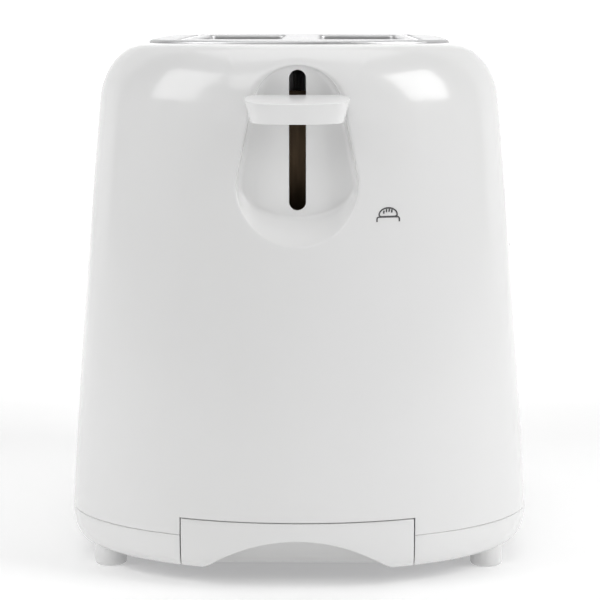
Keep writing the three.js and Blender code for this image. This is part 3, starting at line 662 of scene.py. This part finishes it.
def outer_shell():
    skin = Skin()
    grid = shell_grid(skin)
    blocks = shell_blocks()
    left_out = [(set(zip(columns, columns[1:])), rows) for columns, rows in blocks.values()]
    for r, (lower, upper) in enumerate(zip(grid, grid[1:])):
        for c in range(len(COLUMNS)):
            d = (c + 1) % len(COLUMNS)
            if not any((c, d) in pairs and rows[0] <= r < rows[1] for pairs, rows in left_out):
                skin.faces.append((lower[c], lower[d], upper[d], upper[c]))
    borders = {name: border_of(grid, rows, columns) for name, (columns, rows) in blocks.items()}
    add_recess(skin, borders["recess"], len(blocks["recess"][0]))
    add_hole(skin, borders["panel"], rounded_rect(*PANEL_OPENING, PANEL_CORNER, 12),
             lambda p: (p.y, p.z), lambda u, v, sink=0.0: side_pair(u, v, sink, -1))
    rack_slot = rounded_rect(SLIDER_Y - RACK_SLOT_HALF, SLIDER_Y + RACK_SLOT_HALF,
                             RACK_SLOT_LOW, RACK_SLOT_HIGH, 2.99 * MM, 12)
    add_hole(skin, borders["rack"], rack_slot,
             lambda p: (p.y, p.z), lambda u, v, sink=0.0: side_pair(u, v, sink, 1))
    add_hole(skin, borders["gland"], circle(0, GLAND_Z, GLAND_HOLE),
             lambda p: (p.x, p.z), lambda u, v, sink=0.0: end_pair(u, v, sink, 1))
    place(smooth(skin.object("shell_body"), 45), "root", "white_plastic", WHITE, "outer_shell")


# ---- base, feet and crumb tray

def base_rim():
    """The rim under the shell, open at the lever end where the crumb tray slides in."""
    top, bottom, steps = SPLIT_Z - 0.05 * MM, BASE_LOW.z, 14
    straight = top - EDGE
    outside = [(sunk, top - away) for away, sunk in reversed(ROUND)]
    outside += [(0.0, straight - (straight - bottom) * math.sin(a)) for a in quarter(steps)[1:]]
    inside = in_mm([(9.5, 6.7), (9.5, 8.1), (5.6, 8.1), (4.4, 11.5), (4.4, 21.5), (2.9, 21.5)])
    inside.append((2.9 * MM, top))
    open_columns = set(column_range(lambda x, y: y < 0 and abs(x) < NOTCH_HALF - COLUMN_SLACK))
    kept = [i for i in range(len(COLUMNS)) if i not in open_columns]
    start = next(i for i in kept if (i - 1) % len(COLUMNS) in open_columns)
    points, rings = [], []
    for i in range(len(kept)):
        column = COLUMNS[(start + i) % len(COLUMNS)]
        ends = rounding(column[1] - NOTCH_HALF) if column[0] == "x" and column[3] < 0 else 0.0
        ring = [column_point(column, body_inset(z) + max(sink, ends), z) for sink, z in outside]
        ring += [column_point(column, inset, z) for inset, z in inside]
        rings.append(range(len(points), len(points) + len(ring)))
        points += ring
    obj = mesh_object("base_rim_moulding", points, sleeve(rings))
    place(smooth(obj), "root", "white_plastic", WHITE, "base_rim")


def feet():
    profile = in_mm([(4.4, 0), (5.0, 0.1), (5.6, 0.45), (5.9, 1.0), (6, 1.7), (6, 8.1)])
    for name in ("front_left", "front_right", "rear_left", "rear_right"):
        low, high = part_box(f"foot_{name}")
        centre = ((low.x + high.x) / 2, (low.y + high.y) / 2, 0)
        foot = turned(f"foot_pad_{name}", profile, (0, 0, 1), centre, 48)
        place(foot, "root", "white_plastic", WHITE, f"foot_{name}")


def arch_bottom(x):
    """The lower edge of the tray's front: a shallow round arch that runs out at the corners."""
    radius, crown = 53.6 * MM, 18.6 * MM
    drop = radius - math.sqrt(radius ** 2 - x ** 2)
    return max(BASE_LOW.z, crown - drop)


def handle_heights(low, top):
    """Heights up the tray's front: close together where its edges are round, and even between them."""
    away = [distance for distance, _ in ROUND]
    even = [low + EDGE + (top - low - 2 * EDGE) * k / 13 for k in range(1, 13)]
    return [low + distance for distance in reversed(away)] + even + [top - distance for distance in away]


def handle_block(half, top):
    """The front as one block that follows the body, with its edges rounded."""
    positive = [x * MM for x in range(0, 41, 2)] + [half - distance for distance, _ in ROUND]
    across = [-x for x in reversed(positive[1:])] + positive
    skin = Skin()
    columns = []
    for x in across:
        low = arch_bottom(x)
        column = []
        for z in handle_heights(low, top):
            sideways, upright = (1 - min(1.0, gap / EDGE) for gap in (half - abs(x), min(z - low, top - z)))
            sink = EDGE * (1 - math.sqrt(max(0.0, 1 - sideways ** 2 - upright ** 2)))
            front = (x, -end_y(x, body_inset(z) + sink), z)
            column.append(skin.point(front, (x, HANDLE_HIGH.y, z)))
        columns.append(column)
    skin.strips(list(zip(*columns)), closed=False)
    return skin.object("tray_front")


def tray_handle():
    """The tray's front: a block that follows the body, arched below, with a finger pocket behind its face."""
    face, pocket_half, pocket_back = 3 * MM, 37.5, -121.5
    obj = handle_block(HANDLE_HIGH.x, HANDLE_HIGH.z)
    pocket = Skin()
    rows = []
    for z in [level * MM for level in (5, 6.7, 8, 10, 12, 14, 16, 18, 20, 21.5)]:
        inset = body_inset(max(z, BASE_LOW.z)) + face
        inside = [x * MM for x in (-pocket_half, *range(-36, 37, 3), pocket_half)]
        rows.append([pocket.point((x, -end_y(x, inset), z), (x, pocket_back * MM, z)) for x in inside])
    pocket.strips(rows, closed=False)
    combine(obj, pocket.object("pocket"), "DIFFERENCE")
    combine(obj, prism_box("pocket_back", (-37.9, 37.9), (pocket_back, -118), (7, 22)), "UNION")
    place(smooth(obj), "crumb_tray", "white_plastic", WHITE, "crumb_tray_handle")


def prism_box(name, xs, ys, zs):
    corners = [(x * MM, y * MM, z * MM) for z in zs for y in ys for x in xs]
    faces = [(0, 1, 3, 2), (4, 6, 7, 5), (0, 4, 5, 1), (2, 3, 7, 6), (0, 2, 6, 4), (1, 5, 7, 3)]
    return mesh_object(name, corners, faces)


def tray_pan():
    """A pressed steel pan with round corners and a soft fold round its floor."""
    low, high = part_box("crumb_tray_pan")
    fold, gauge = 2.2 * MM, 0.8 * MM
    profile = [(0.0, high.z, gauge, high.z)]
    for angle in quarter(6):
        across, up = 1 - math.cos(angle), math.sin(angle)
        profile.append((fold * across, low.z + fold * (1 - up),
                        gauge + (fold - gauge) * across, low.z + fold - (fold - gauge) * up))
    outline = rounded_rect(low.x, high.x, low.y, high.y, 4 * MM)
    skin = Skin()
    rings = []
    for inset, z, inset_in, z_in in profile:
        pairs = zip(offset(outline, -inset), offset(outline, -inset_in))
        rings.append([skin.point((*outer, z), (*inner, z_in)) for outer, inner in pairs])
    skin.strips(rings[::-1])
    skin.faces.append(tuple(reversed(rings[-1])))
    place(smooth(skin.object("tray_pan")), "crumb_tray", "steel", STEEL, "crumb_tray_pan")


# ---- lever

def lever_outline(back, half, front):
    """The tongue seen from above, counter-clockwise: a straight back and a bowed front."""
    corner, cheek, brow = (14 * MM, back), (half, -134.5 * MM), (12 * MM, -141.5 * MM)
    side = [Vector(corner)] + curve(corner, (17.6 * MM, -130.6 * MM), (half, -132.6 * MM), 5)
    side += [Vector(cheek)] + curve(cheek, (half, -139.8 * MM), brow, 12)
    side += curve(brow, (6.5 * MM, front), (0, front), 12)
    return side[::-1] + [(-x, y) for x, y in side[:-1]]


def lever_knob():
    """A thin tongue that grows smaller downwards, and a neck behind it."""
    back, thick, low_back_z = -129.2 * MM, 8.6 * MM, 167.8 * MM
    top_slope, bottom_slope = 0.217, 0.0615
    narrower, shallower, lean_height = 0.115, 0.13, 6.4 * MM

    def shape(_, x, y, level):
        run = back - y
        top = KNOB_HIGH.z - top_slope * run
        bottom = low_back_z - bottom_slope * run
        z = bottom + (top - bottom) * level / thick
        short = 1 - min(1.0, max(0.0, (z - KNOB_LOW.z) / lean_height))
        return x * (1 - narrower * short), back + (y - back) * (1 - shallower * short), z

    obj = slab("lever_tongue", lever_outline(back, KNOB_HIGH.x, KNOB_LOW.y), "z", 0.0, thick, EDGE, shape)
    neck = box_slab("neck", (-6 * MM, 6 * MM), (-132 * MM, -123.5 * MM), (169.6 * MM, 175.6 * MM), 0.5 * MM)
    combine(obj, neck, "UNION")
    place(smooth(obj), "lift_carriage", "white_plastic", WHITE, "lever_knob")


# ---- top plate

def ring_of(outline, distance, z):
    return [(x, y, z) for x, y in offset(outline, distance)]


def top_plate():
    """A pressed steel plate with a rolled rim, flanged bread slots and a slit for each rack wire."""
    rim = in_mm([(31, 195.6), (30.5, 195.5), (30.1, 195.25), (29.85, 194.9), (29.8, 194.4),
                 (29.8, 193.4), (30.6, 193.4), (30.6, 194.6)])
    loops = [[[column_point(c, inset, z) for c in COLUMNS] for inset, z in rim]]
    flange = [(1.2 * (1 - math.sin(a)), 194.4 + 1.2 * math.cos(a)) for a in quarter(6)]
    flange = in_mm(flange + [(0, 191), (0, 188), (0.8, 188), (0.8, 193.8), (1.2, 194.6)])
    slit_edge = in_mm([(0.3, 195.6), (0.09, 195.51), (0, 195.3), (0, 194.6)])
    slit_half, slit_reach, slot_reach = 1.6 * MM, 84 * MM, 71 * MM
    for side in (-1, 1):
        slot_x = sorted((side * 7.5 * MM, side * 40 * MM))
        slot = rounded_rect(*slot_x, -slot_reach, slot_reach, 3 * MM)
        slit_x = (side * RACK_X - slit_half, side * RACK_X + slit_half)
        slit = rounded_rect(*slit_x, -slit_reach, slit_reach, 1.59 * MM)
        loops.append([ring_of(slot, distance, z) for distance, z in flange])
        loops.append([ring_of(slit, distance, z) for distance, z in slit_edge])
    place(pierced_sheet("pressed_plate", loops), "root", "polished_steel", PLATE_STEEL, "top_plate")


# ---- controls

def panel_plate():
    """A plate that follows the body's side, with a flat sunk face for the dial and the buttons."""
    outline = rounded_rect(*PANEL_OPENING, PANEL_CORNER, 12)
    bezel = PANEL_GAP + 2.5 * MM

    def flush(distance, sunk):
        return [(sunk - side_x(y, body_inset(z)), y, z) for y, z in offset(outline, -distance)]

    def flat(points, x):
        return [(x, y, z) for y, z in points]

    rings = [flat(offset(outline, -bezel - EDGE), PANEL_FACE_X)]
    rings += [flush(bezel - distance, sunk) for distance, sunk in reversed(ROUND)]
    rings += [flush(PANEL_GAP + distance, sunk) for distance, sunk in ROUND]
    rings += [flat(offset(outline, -PANEL_GAP), x) for x in (-81 * MM, PANEL_BACK_X)]
    loops = [rings]
    holes = [circle(*DIAL_CENTRE, DIAL_HOLE)]
    holes += [circle(middle.y, middle.z, BUTTON_HOLE) for middle in BUTTON_PLACES.values()]
    for hole in holes:
        rim = [flat(offset(hole, away), PANEL_FACE_X + sunk) for away, sunk in ROUND]
        loops.append(rim + [flat(hole, PANEL_BACK_X)])
    place(pierced_sheet("panel_plate", loops), "root", "white_plastic", WHITE, "control_panel")


def panel_posts():
    """Four posts behind the panel that carry the button board."""
    profile, start_x = in_mm([(2.5, 0), (2.5, 11.3)]), PANEL_BACK_X - 0.2 * MM
    for row, z in enumerate((47 * MM, 79 * MM)):
        for column, y in enumerate((PANEL_LOW.y + 7.7 * MM, PANEL_HIGH.y - 17.7 * MM)):
            post = turned(f"panel_post_{row}{column}", profile, (1, 0, 0), (start_x, y, z), 24)
            place(post, "root", "white_plastic", WHITE)


def dial_marks():
    """Raised dots on an arc round the dial."""
    count, arc, radius = 8, 19.2 * MM, 0.45 * MM
    y, z = DIAL_CENTRE
    for i in range(count):
        angle = math.radians(-60 + 300 * i / (count - 1))
        dot = circle(y + arc * math.cos(angle), z + arc * math.sin(angle), radius, 16)
        mark = slab(f"dial_mark_{i}", dot, "x", PANEL_FACE_X - 0.12 * MM, PANEL_FACE_X + 0.2 * MM, 0.08 * MM)
        place(mark, "root", "dark_plastic", PRINT)


def browning_dial():
    """A dial with a skirt, a fluted grip and a pointer let into its face."""
    profile = in_mm([(17.0, 0), (17.7, 0.12), (18, 0.5), (18, 1.5), (17.6, 1.95), (16.9, 2.2), (16.3, 2.5),
                     (16.0, 3.0), (15.9, 3.5), (15.7, 4.6), (15.5, 5.6), (15.35, 6.2), (15.1, 6.6),
                     (14.7, 6.85), (14.2, 6.95), (12.5, 6.95), (12.0, 6.75), (11.6, 6.7)])
    flutes, depth, fluted_rows = 40, 0.35 * MM, range(8, 12)

    def grip(row, angle, radius):
        return radius - depth * (0.5 + 0.5 * math.cos(flutes * angle)) if row in fluted_rows else radius

    y, z = DIAL_CENTRE
    dial = turned("dial_knob", profile, (-1, 0, 0), (DIAL_HIGH.x, y, z), flutes * 8, grip)
    place(dial, "dial", "white_plastic", WHITE, "browning_dial")
    tip = rounded_rect(y - 0.8 * MM, y + 0.8 * MM, z + 4 * MM, z + 11 * MM, 0.79 * MM)
    pointer = slab("dial_pointer", tip, "x", DIAL_LOW.x + 0.35 * MM, DIAL_LOW.x + 0.9 * MM, 0.1 * MM)
    place(pointer, "dial", "dark_plastic", PRINT)


def buttons():
    profile = in_mm([(5.9, 0), (5.9, 1.1), (5.7, 1.3), (5, 1.4), (5, 6.5), (4.93, 6.85), (4.7, 7.15),
                     (4.4, 7.3), (4.0, 7.35), (3.4, 7.2), (1.5, 7.0)])
    seat_x = -76.9 * MM
    for name, middle in BUTTON_PLACES.items():
        button = turned(f"{name}_cap", profile, (-1, 0, 0), (seat_x, middle.y, middle.z), 56)
        place(button, f"{name}_key", "white_plastic", WHITE, f"{name}_button")
        symbol = tube(f"{name}_symbol", button_symbol(name, middle), 0.2 * MM, 8)
        place(symbol, f"{name}_key", "dark_plastic", PRINT)


def button_symbol(name, middle):
    """Simple line symbols: a flake of three strokes, an open ring and a cross."""
    x, reach = -83.95 * MM, 2.1 * MM

    def point(angle, distance):
        a = math.radians(angle)
        return x, middle.y + distance * math.cos(a), middle.z + distance * math.sin(a)

    if name == "defrost":
        return [[point(angle, -reach), point(angle, reach)] for angle in (90, 30, 150)]
    if name == "reheat":
        return [[point(60 + 12.5 * i, reach) for i in range(25)]]
    return [[point(angle, -reach), point(angle, reach)] for angle in (45, 135)]


# ---- bun rack

def bun_rack():
    """Two wires that stand in slits of the top plate, and the slider that lifts them."""
    heights = [157.4 * MM, 170 * MM, 182 * MM]
    path = staple(0, RACK_REACH, heights, 194.2 * MM, RACK_BEND, 6)
    for side, name in ((-1, "left"), (1, "right")):
        wire = tube(f"rack_rail_{name}", [[(side * RACK_X, y, z) for y, z in path]], RACK_WIRE, 14)
        place(wire, "bun_rack", "polished_steel", CHROME, f"rack_wire_{name}")
    low, high = SLIDER_LOW, SLIDER_HIGH
    face, end, pitch = high.x - 1.4 * MM, 4 * MM, 1.7 * MM
    grip = slab("slider_grip", rounded_rect(low.y, high.y, low.z, high.z, end), "x", low.x, face, 1.0 * MM)
    place(grip, "bun_rack", "white_plastic", WHITE, "rack_slider")
    ridge_heights = [(low.z + high.z) / 2 + k * pitch for k in range(-2, 3)]
    ridges = [[(face, low.y + end, z), (face, high.y - end, z)] for z in ridge_heights]
    place(tube("slider_ridges", ridges, 0.5 * MM, 12), "bun_rack", "white_plastic", WHITE)


def pictogram():
    """The mark beside the lever: a scored bun on a low rack, as fine raised lines on the shell."""
    middle, base, rail, bun, line = 32.3 * MM, 131.9 * MM, 133.6 * MM, 3.25 * MM, 0.27 * MM
    rack = staple(middle, 4.0 * MM, [base], rail, 0.7 * MM, 4)
    crust = [(middle + bun * math.cos(a), rail + 0.75 * MM + 2.45 * MM * math.sin(a))
             for a in (math.pi * i / 16 for i in range(17))]
    crust += [(middle + share * bun, rail + height * MM)
              for share, height in ((-0.93, 0.3), (-0.75, 0.12), (0.75, 0.12), (0.93, 0.3))]
    crust.append(crust[0])
    scores = []
    for i, top in enumerate((2.25, 2.75, 2.85, 2.55)):
        x = middle + (i * 0.95 - 1.6) * MM
        scores.append([(x, rail + (top - 1.05) * MM), (x + 0.08 * MM, rail + top * MM)])
    paths = [[end_pair(x, z, 0.02 * MM)[0] for x, z in fine(path)] for path in (rack, crust, *scores)]
    place(tube("bun_rack_mark", paths, line, 8), "root", "dark_plastic", PRINT)


def fine(path):
    """The same path with short steps, so that it can follow a curved wall."""
    points = [path[0]]
    for a, b in zip(path, path[1:]):
        steps = max(1, round(math.dist(a, b) / (0.5 * MM)))
        points += [partway(a, b, (i + 1) / steps) for i in range(steps)]
    return points


# ---- inside

def bread_guides():
    """Each guide is a frame of bent wire with upright wires between its rails."""
    wires = 9
    for name in ("left_outer", "left_inner", "right_inner", "right_outer"):
        low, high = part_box(f"bread_guide_{name}")
        x = (low.x + high.x) / 2
        radius = (high.x - low.x) / 2
        y0, y1, z0, z1 = low.y + radius, high.y - radius, low.z + radius, high.z - radius
        frame_path = [(x, y, z) for y, z in rounded_rect(y0, y1, z0, z1, 4 * MM, 5)]
        outline = tube(f"guide_frame_{name}", [frame_path], radius, 8, closed=True)
        place(outline, "root", "steel", CHROME, f"bread_guide_{name}")
        paths = []
        for i in range(1, wires):
            y = y0 + (y1 - y0) * i / wires
            paths.append([(x, y, z0), (x, y, (z0 + z1) / 2), (x, y, z1)])
        place(tube(f"guide_wires_{name}", paths, radius * 0.8, 8), "root", "steel", CHROME)


def element_ribbons():
    """Flat heating ribbon in straight runs along both faces of each mica sheet."""
    runs, half_width, half_gauge, reach = 13, 0.7 * MM, 0.12 * MM, 70 * MM
    margin, clear = 12 * MM, 0.35 * MM
    for name in ("left", "centre", "right"):
        low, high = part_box(f"heating_element_{name}")
        points, faces = [], []
        for i in range(runs):
            z = low.z + margin + (high.z - low.z - 2 * margin) * i / (runs - 1)
            for x in (low.x - clear, high.x + clear):
                rings = []
                for y in (-reach, 0, reach):
                    rings.append(range(len(points), len(points) + 4))
                    points += [(x - half_gauge, y, z - half_width), (x + half_gauge, y, z - half_width),
                               (x + half_gauge, y, z + half_width), (x - half_gauge, y, z + half_width)]
                faces += sleeve(rings)
        place(mesh_object(f"element_ribbon_{name}", points, faces), "root", "steel", NICHROME)


def return_spring():
    turns, radius, y, low, high = 8, 3.4 * MM, -86 * MM, 33.1 * MM, 79.0 * MM
    steps = turns * 24
    path = []
    for i in range(steps + 1):
        angle, z = 2 * math.pi * turns * i / steps, low + (high - low) * i / steps
        path.append((radius * math.sin(angle), y + radius * math.cos(angle), z))
    spring = tube("coil_spring", [path], 0.5 * MM, 10)
    place(spring, None, "steel", CHROME, "return_spring")
    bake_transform(spring)


def cord_gland():
    profile = in_mm([(3.6, 133), (7.9, 133), (8.2, 133.3), (8.2, 135.0), (7.9, 135.3), (6.9, 135.3),
                     (6.7, 135.5), (6.7, 139.9), (6.9, 140.1), (8.0, 140.1), (8.2, 140.4), (8.1, 141.6),
                     (7.8, 142.6), (7.3, 143), (4.0, 143), (3.7, 142.8), (3.6, 142.4), (3.6, 133)])
    gland = turned("gland_grommet", profile, (0, 1, 0), (0, 0, GLAND_Z), 72)
    place(gland, "root", "dark_plastic", DARK, "cord_gland")


def keep_cad_nodes(groups):
    """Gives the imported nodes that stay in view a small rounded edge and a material."""
    for material, width, names in groups:
        for name in names:
            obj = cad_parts[name]
            for slot in obj.material_slots:
                slot.material = material
            round_edges(obj, width)


# ---- materials

def new_material(name):
    material = bpy.data.materials.new(name)
    material.use_nodes = True
    nodes = material.node_tree.nodes
    return material, nodes, material.node_tree.links, nodes["Principled BSDF"]


def noise(nodes, links, scale, detail=3.0, stretch=(1, 1, 1)):
    """A noise texture in the object's own space, in metres."""
    where = nodes.new("ShaderNodeTexCoord")
    mapping = nodes.new("ShaderNodeMapping")
    mapping.inputs["Scale"].default_value = stretch
    texture = nodes.new("ShaderNodeTexNoise")
    texture.inputs["Scale"].default_value = scale
    texture.inputs["Detail"].default_value = detail
    links.new(where.outputs["Object"], mapping.inputs["Vector"])
    links.new(mapping.outputs["Vector"], texture.inputs["Vector"])
    return texture.outputs["Fac"]


def ramp(nodes, links, source, low, high):
    """Maps a texture's middle range onto a range of grey or of colour."""
    node = nodes.new("ShaderNodeValToRGB")
    low = low if isinstance(low, tuple) else (low, low, low)
    high = high if isinstance(high, tuple) else (high, high, high)
    node.color_ramp.elements[0].position = 0.3
    node.color_ramp.elements[0].color = (*low, 1)
    node.color_ramp.elements[1].position = 0.7
    node.color_ramp.elements[1].color = (*high, 1)
    links.new(source, node.inputs["Fac"])
    return node.outputs["Color"]


def bump(nodes, links, shader, sources):
    """Stacks bumps of (height source, strength, distance) on the shader's normal."""
    last = None
    for source, strength, distance in sources:
        node = nodes.new("ShaderNodeBump")
        node.inputs["Strength"].default_value = strength
        node.inputs["Distance"].default_value = distance
        links.new(source, node.inputs["Height"])
        if last:
            links.new(last, node.inputs["Normal"])
        last = node.outputs["Normal"]
    links.new(last, shader.inputs["Normal"])


def gloss_white():
    """Moulded glossy plastic: faint mottling in the tone, and handling marks and orange peel in the gloss."""
    material, nodes, links, shader = new_material("white_gloss_plastic")
    mottling = noise(nodes, links, 9.0, 4.0)
    tone = ramp(nodes, links, mottling, (0.785, 0.785, 0.78), (0.80, 0.80, 0.80))
    links.new(tone, shader.inputs["Base Color"])
    marks = noise(nodes, links, 140.0, 6.0)
    links.new(ramp(nodes, links, marks, 0.15, 0.22), shader.inputs["Roughness"])
    shader.inputs["IOR"].default_value = 1.5
    shader.inputs["Coat Weight"].default_value = 0.2
    shader.inputs["Coat Roughness"].default_value = 0.05
    bump(nodes, links, shader, [(noise(nodes, links, 260.0, 2.0), 0.04, 0.00008)])
    return material


def matte(name, low, high, rough, grain=2200.0, strength=0.25):
    """Matt moulded or laminated material with a fine grain."""
    material, nodes, links, shader = new_material(name)
    links.new(ramp(nodes, links, noise(nodes, links, 30.0, 4.0), low, high), shader.inputs["Base Color"])
    wear = ramp(nodes, links, noise(nodes, links, 400.0), rough * 0.85, rough * 1.15)
    links.new(wear, shader.inputs["Roughness"])
    bump(nodes, links, shader, [(noise(nodes, links, grain, 2.0), strength, 0.00006)])
    return material


def metal(name, low, high, roughness, stretch, brush):
    """Metal with rolling or brushing marks drawn out along one direction and a little smudging."""
    material, nodes, links, shader = new_material(name)
    shader.inputs["Metallic"].default_value = 1.0
    grain = noise(nodes, links, 700.0, 5.0, stretch)
    links.new(ramp(nodes, links, noise(nodes, links, 25.0, 4.0), low, high), shader.inputs["Base Color"])
    links.new(ramp(nodes, links, grain, roughness * 0.7, roughness * 1.4), shader.inputs["Roughness"])
    bump(nodes, links, shader, [(grain, brush, 0.00004)])
    return material


WHITE = gloss_white()
DARK = matte("dark_matte_plastic", (0.018, 0.018, 0.019), (0.032, 0.032, 0.034), 0.5)
PRINT = matte("grey_print", (0.06, 0.06, 0.062), (0.08, 0.08, 0.083), 0.45, 900.0, 0.05)
BOARD = matte("solder_masked_board", (0.02, 0.09, 0.035), (0.035, 0.13, 0.055), 0.35, 500.0, 0.1)
MICA = matte("flaked_mica", (0.30, 0.24, 0.15), (0.50, 0.42, 0.30), 0.55, 260.0, 0.5)
STEEL = metal("mill_steel", (0.46, 0.46, 0.47), (0.56, 0.56, 0.57), 0.34, (1, 1, 0.08), 0.2)
ZINC = metal("heat_tinted_steel", (0.16, 0.11, 0.065), (0.26, 0.185, 0.12), 0.4, (1, 1, 0.1), 0.15)
PLATE_STEEL = metal("satin_plate_steel", (0.66, 0.66, 0.665), (0.71, 0.71, 0.715), 0.42, (3, 0.1, 3), 0.012)
CHROME = metal("bright_wire", (0.68, 0.68, 0.69), (0.80, 0.80, 0.81), 0.14, (1, 0.1, 1), 0.04)
MIRROR = metal("reflector_sheet", (0.50, 0.46, 0.40), (0.62, 0.58, 0.52), 0.22, (1, 0.05, 1), 0.08)
COPPER = metal("enamelled_copper", (0.48, 0.18, 0.07), (0.62, 0.26, 0.11), 0.3, (1, 1, 12), 0.5)
NICHROME = metal("heating_ribbon", (0.30, 0.27, 0.24), (0.42, 0.38, 0.33), 0.4, (1, 0.1, 1), 0.15)

# ---- the toaster

outer_shell()
pictogram()
base_rim()
feet()
tray_handle()
tray_pan()
lever_knob()
top_plate()
panel_plate()
panel_posts()
dial_marks()
browning_dial()
buttons()
bun_rack()
bread_guides()
element_ribbons()
return_spring()
cord_gland()

CORNERS = [f"{end}_{side}" for end in ("front", "rear") for side in ("left", "right")]
keep_cad_nodes([
    (STEEL, 0.15 * MM, ["base_plate", "chassis_plate_front", "chassis_plate_rear", "lever_arm",
                        "bread_lifter_left", "bread_lifter_right", "rack_lift_frame", "rod_bracket_bottom",
                        "rod_bracket_top", "latch_armature", "latch_magnet_core", "dial_shaft"]),
    (STEEL, 0.1 * MM, [f"base_screw_{corner}" for corner in CORNERS]),
    (ZINC, 0.2 * MM, ["carriage_bracket"]),
    (CHROME, 0.1 * MM, ["guide_rod"]),
    (MIRROR, 0.2 * MM, ["reflector_left", "reflector_right"]),
    (MICA, 0.1 * MM, ["heating_element_left", "heating_element_centre", "heating_element_right"]),
    (COPPER, 0.3 * MM, ["latch_magnet_coil"]),
    (BOARD, 0.15 * MM, ["control_board", "button_board"]),
    (DARK, 0.25 * MM, ["power_switch", "potentiometer", "terminal_block", "defrost_switch", "reheat_switch",
                       "cancel_switch"] + [f"board_post_{corner}" for corner in CORNERS]),
])


# ---- studio

def faded(nodes, links, source, start, end, low, high):
    """A value that goes from low to high as its source goes from start to end."""
    fade = nodes.new("ShaderNodeMapRange")
    fade.inputs["From Min"].default_value = start
    fade.inputs["From Max"].default_value = end
    fade.inputs["To Min"].default_value = low
    fade.inputs["To Max"].default_value = high
    links.new(source, fade.inputs["Value"])
    return fade.outputs["Result"]


def maths(nodes, links, operation, *sources):
    node = nodes.new("ShaderNodeMath")
    node.operation = operation
    for source, socket in zip(sources, node.inputs):
        links.new(source, socket)
    return node.outputs["Value"]


def studio_surface(name, corners, near_glow, far_glow):
    """A plain pale surface that glows a little: more towards the far end of the set, less to either side."""
    surface = mesh_object(name, corners, [(0, 1, 2, 3)])
    material, nodes, links, shader = new_material(f"{name}_paper")
    links.new(ramp(nodes, links, noise(nodes, links, 2.0), 0.78, 0.80), shader.inputs["Base Color"])
    shader.inputs["Emission Color"].default_value = (1, 1, 1, 1)
    shader.inputs["Roughness"].default_value = 0.9
    where = nodes.new("ShaderNodeTexCoord")
    split = nodes.new("ShaderNodeSeparateXYZ")
    links.new(where.outputs["Object"], split.inputs["Vector"])
    along = faded(nodes, links, split.outputs["Y"], 0.25, 1.2, near_glow, far_glow)
    across = faded(nodes, links, maths(nodes, links, "ABSOLUTE", split.outputs["X"]), 0.35, 0.9, 1.0, 0.5)
    links.new(maths(nodes, links, "MULTIPLY", along, across), shader.inputs["Emission Strength"])
    surface.data.materials.append(material)


def soft_light(name, place_at, target, size, power):
    data = bpy.data.lights.new(name, "AREA")
    data.shape = "RECTANGLE"
    data.size, data.size_y = size
    data.energy = power
    light = bpy.data.objects.new(name, data)
    light.location = place_at
    light.rotation_euler = (Vector(target) - Vector(place_at)).to_track_quat("-Z", "Y").to_euler()
    bpy.context.scene.collection.objects.link(light)


def studio():
    """A floor and a backdrop, four soft boxes, a dim even sky and the camera at the photo's angle."""
    scene = bpy.context.scene
    studio_surface("floor", [(-6, -6, 0), (6, -6, 0), (6, 6, 0), (-6, 6, 0)], 0.28, 0.85)
    studio_surface("backdrop", [(-6, 3, 0), (6, 3, 0), (6, 3, 5), (-6, 3, 5)], 1.0, 1.0)
    middle = (0, 0, 0.1)
    soft_light("left_box", (-1.2, -0.6, 0.9), middle, (0.8, 1.0), 7.8)
    soft_light("right_box", (1.3, -0.55, 0.9), middle, (0.8, 1.0), 12.8)
    soft_light("top_box", (0, 0.2, 1.6), middle, (1.2, 1.0), 5.0)
    soft_light("key_box", (-0.35, -1.1, 1.15), (0, -0.1, 0.12), (0.8, 0.6), 2.4)
    world = bpy.data.worlds.new("studio")
    world.use_nodes = True
    world.node_tree.nodes["Background"].inputs["Color"].default_value = (1, 1, 1, 1)
    world.node_tree.nodes["Background"].inputs["Strength"].default_value = 0.19
    scene.world = world
    scene.view_settings.view_transform = "Standard"
    camera_data = bpy.data.cameras.new("camera")
    camera_data.lens, camera_data.sensor_width = 141.66, 36
    camera = bpy.data.objects.new("camera", camera_data)
    camera.location = (0.0097, -0.963, 0.208)
    camera.rotation_euler = (math.radians(90 - 7.1), 0, math.radians(0.6))
    scene.collection.objects.link(camera)
    scene.camera = camera


studio()
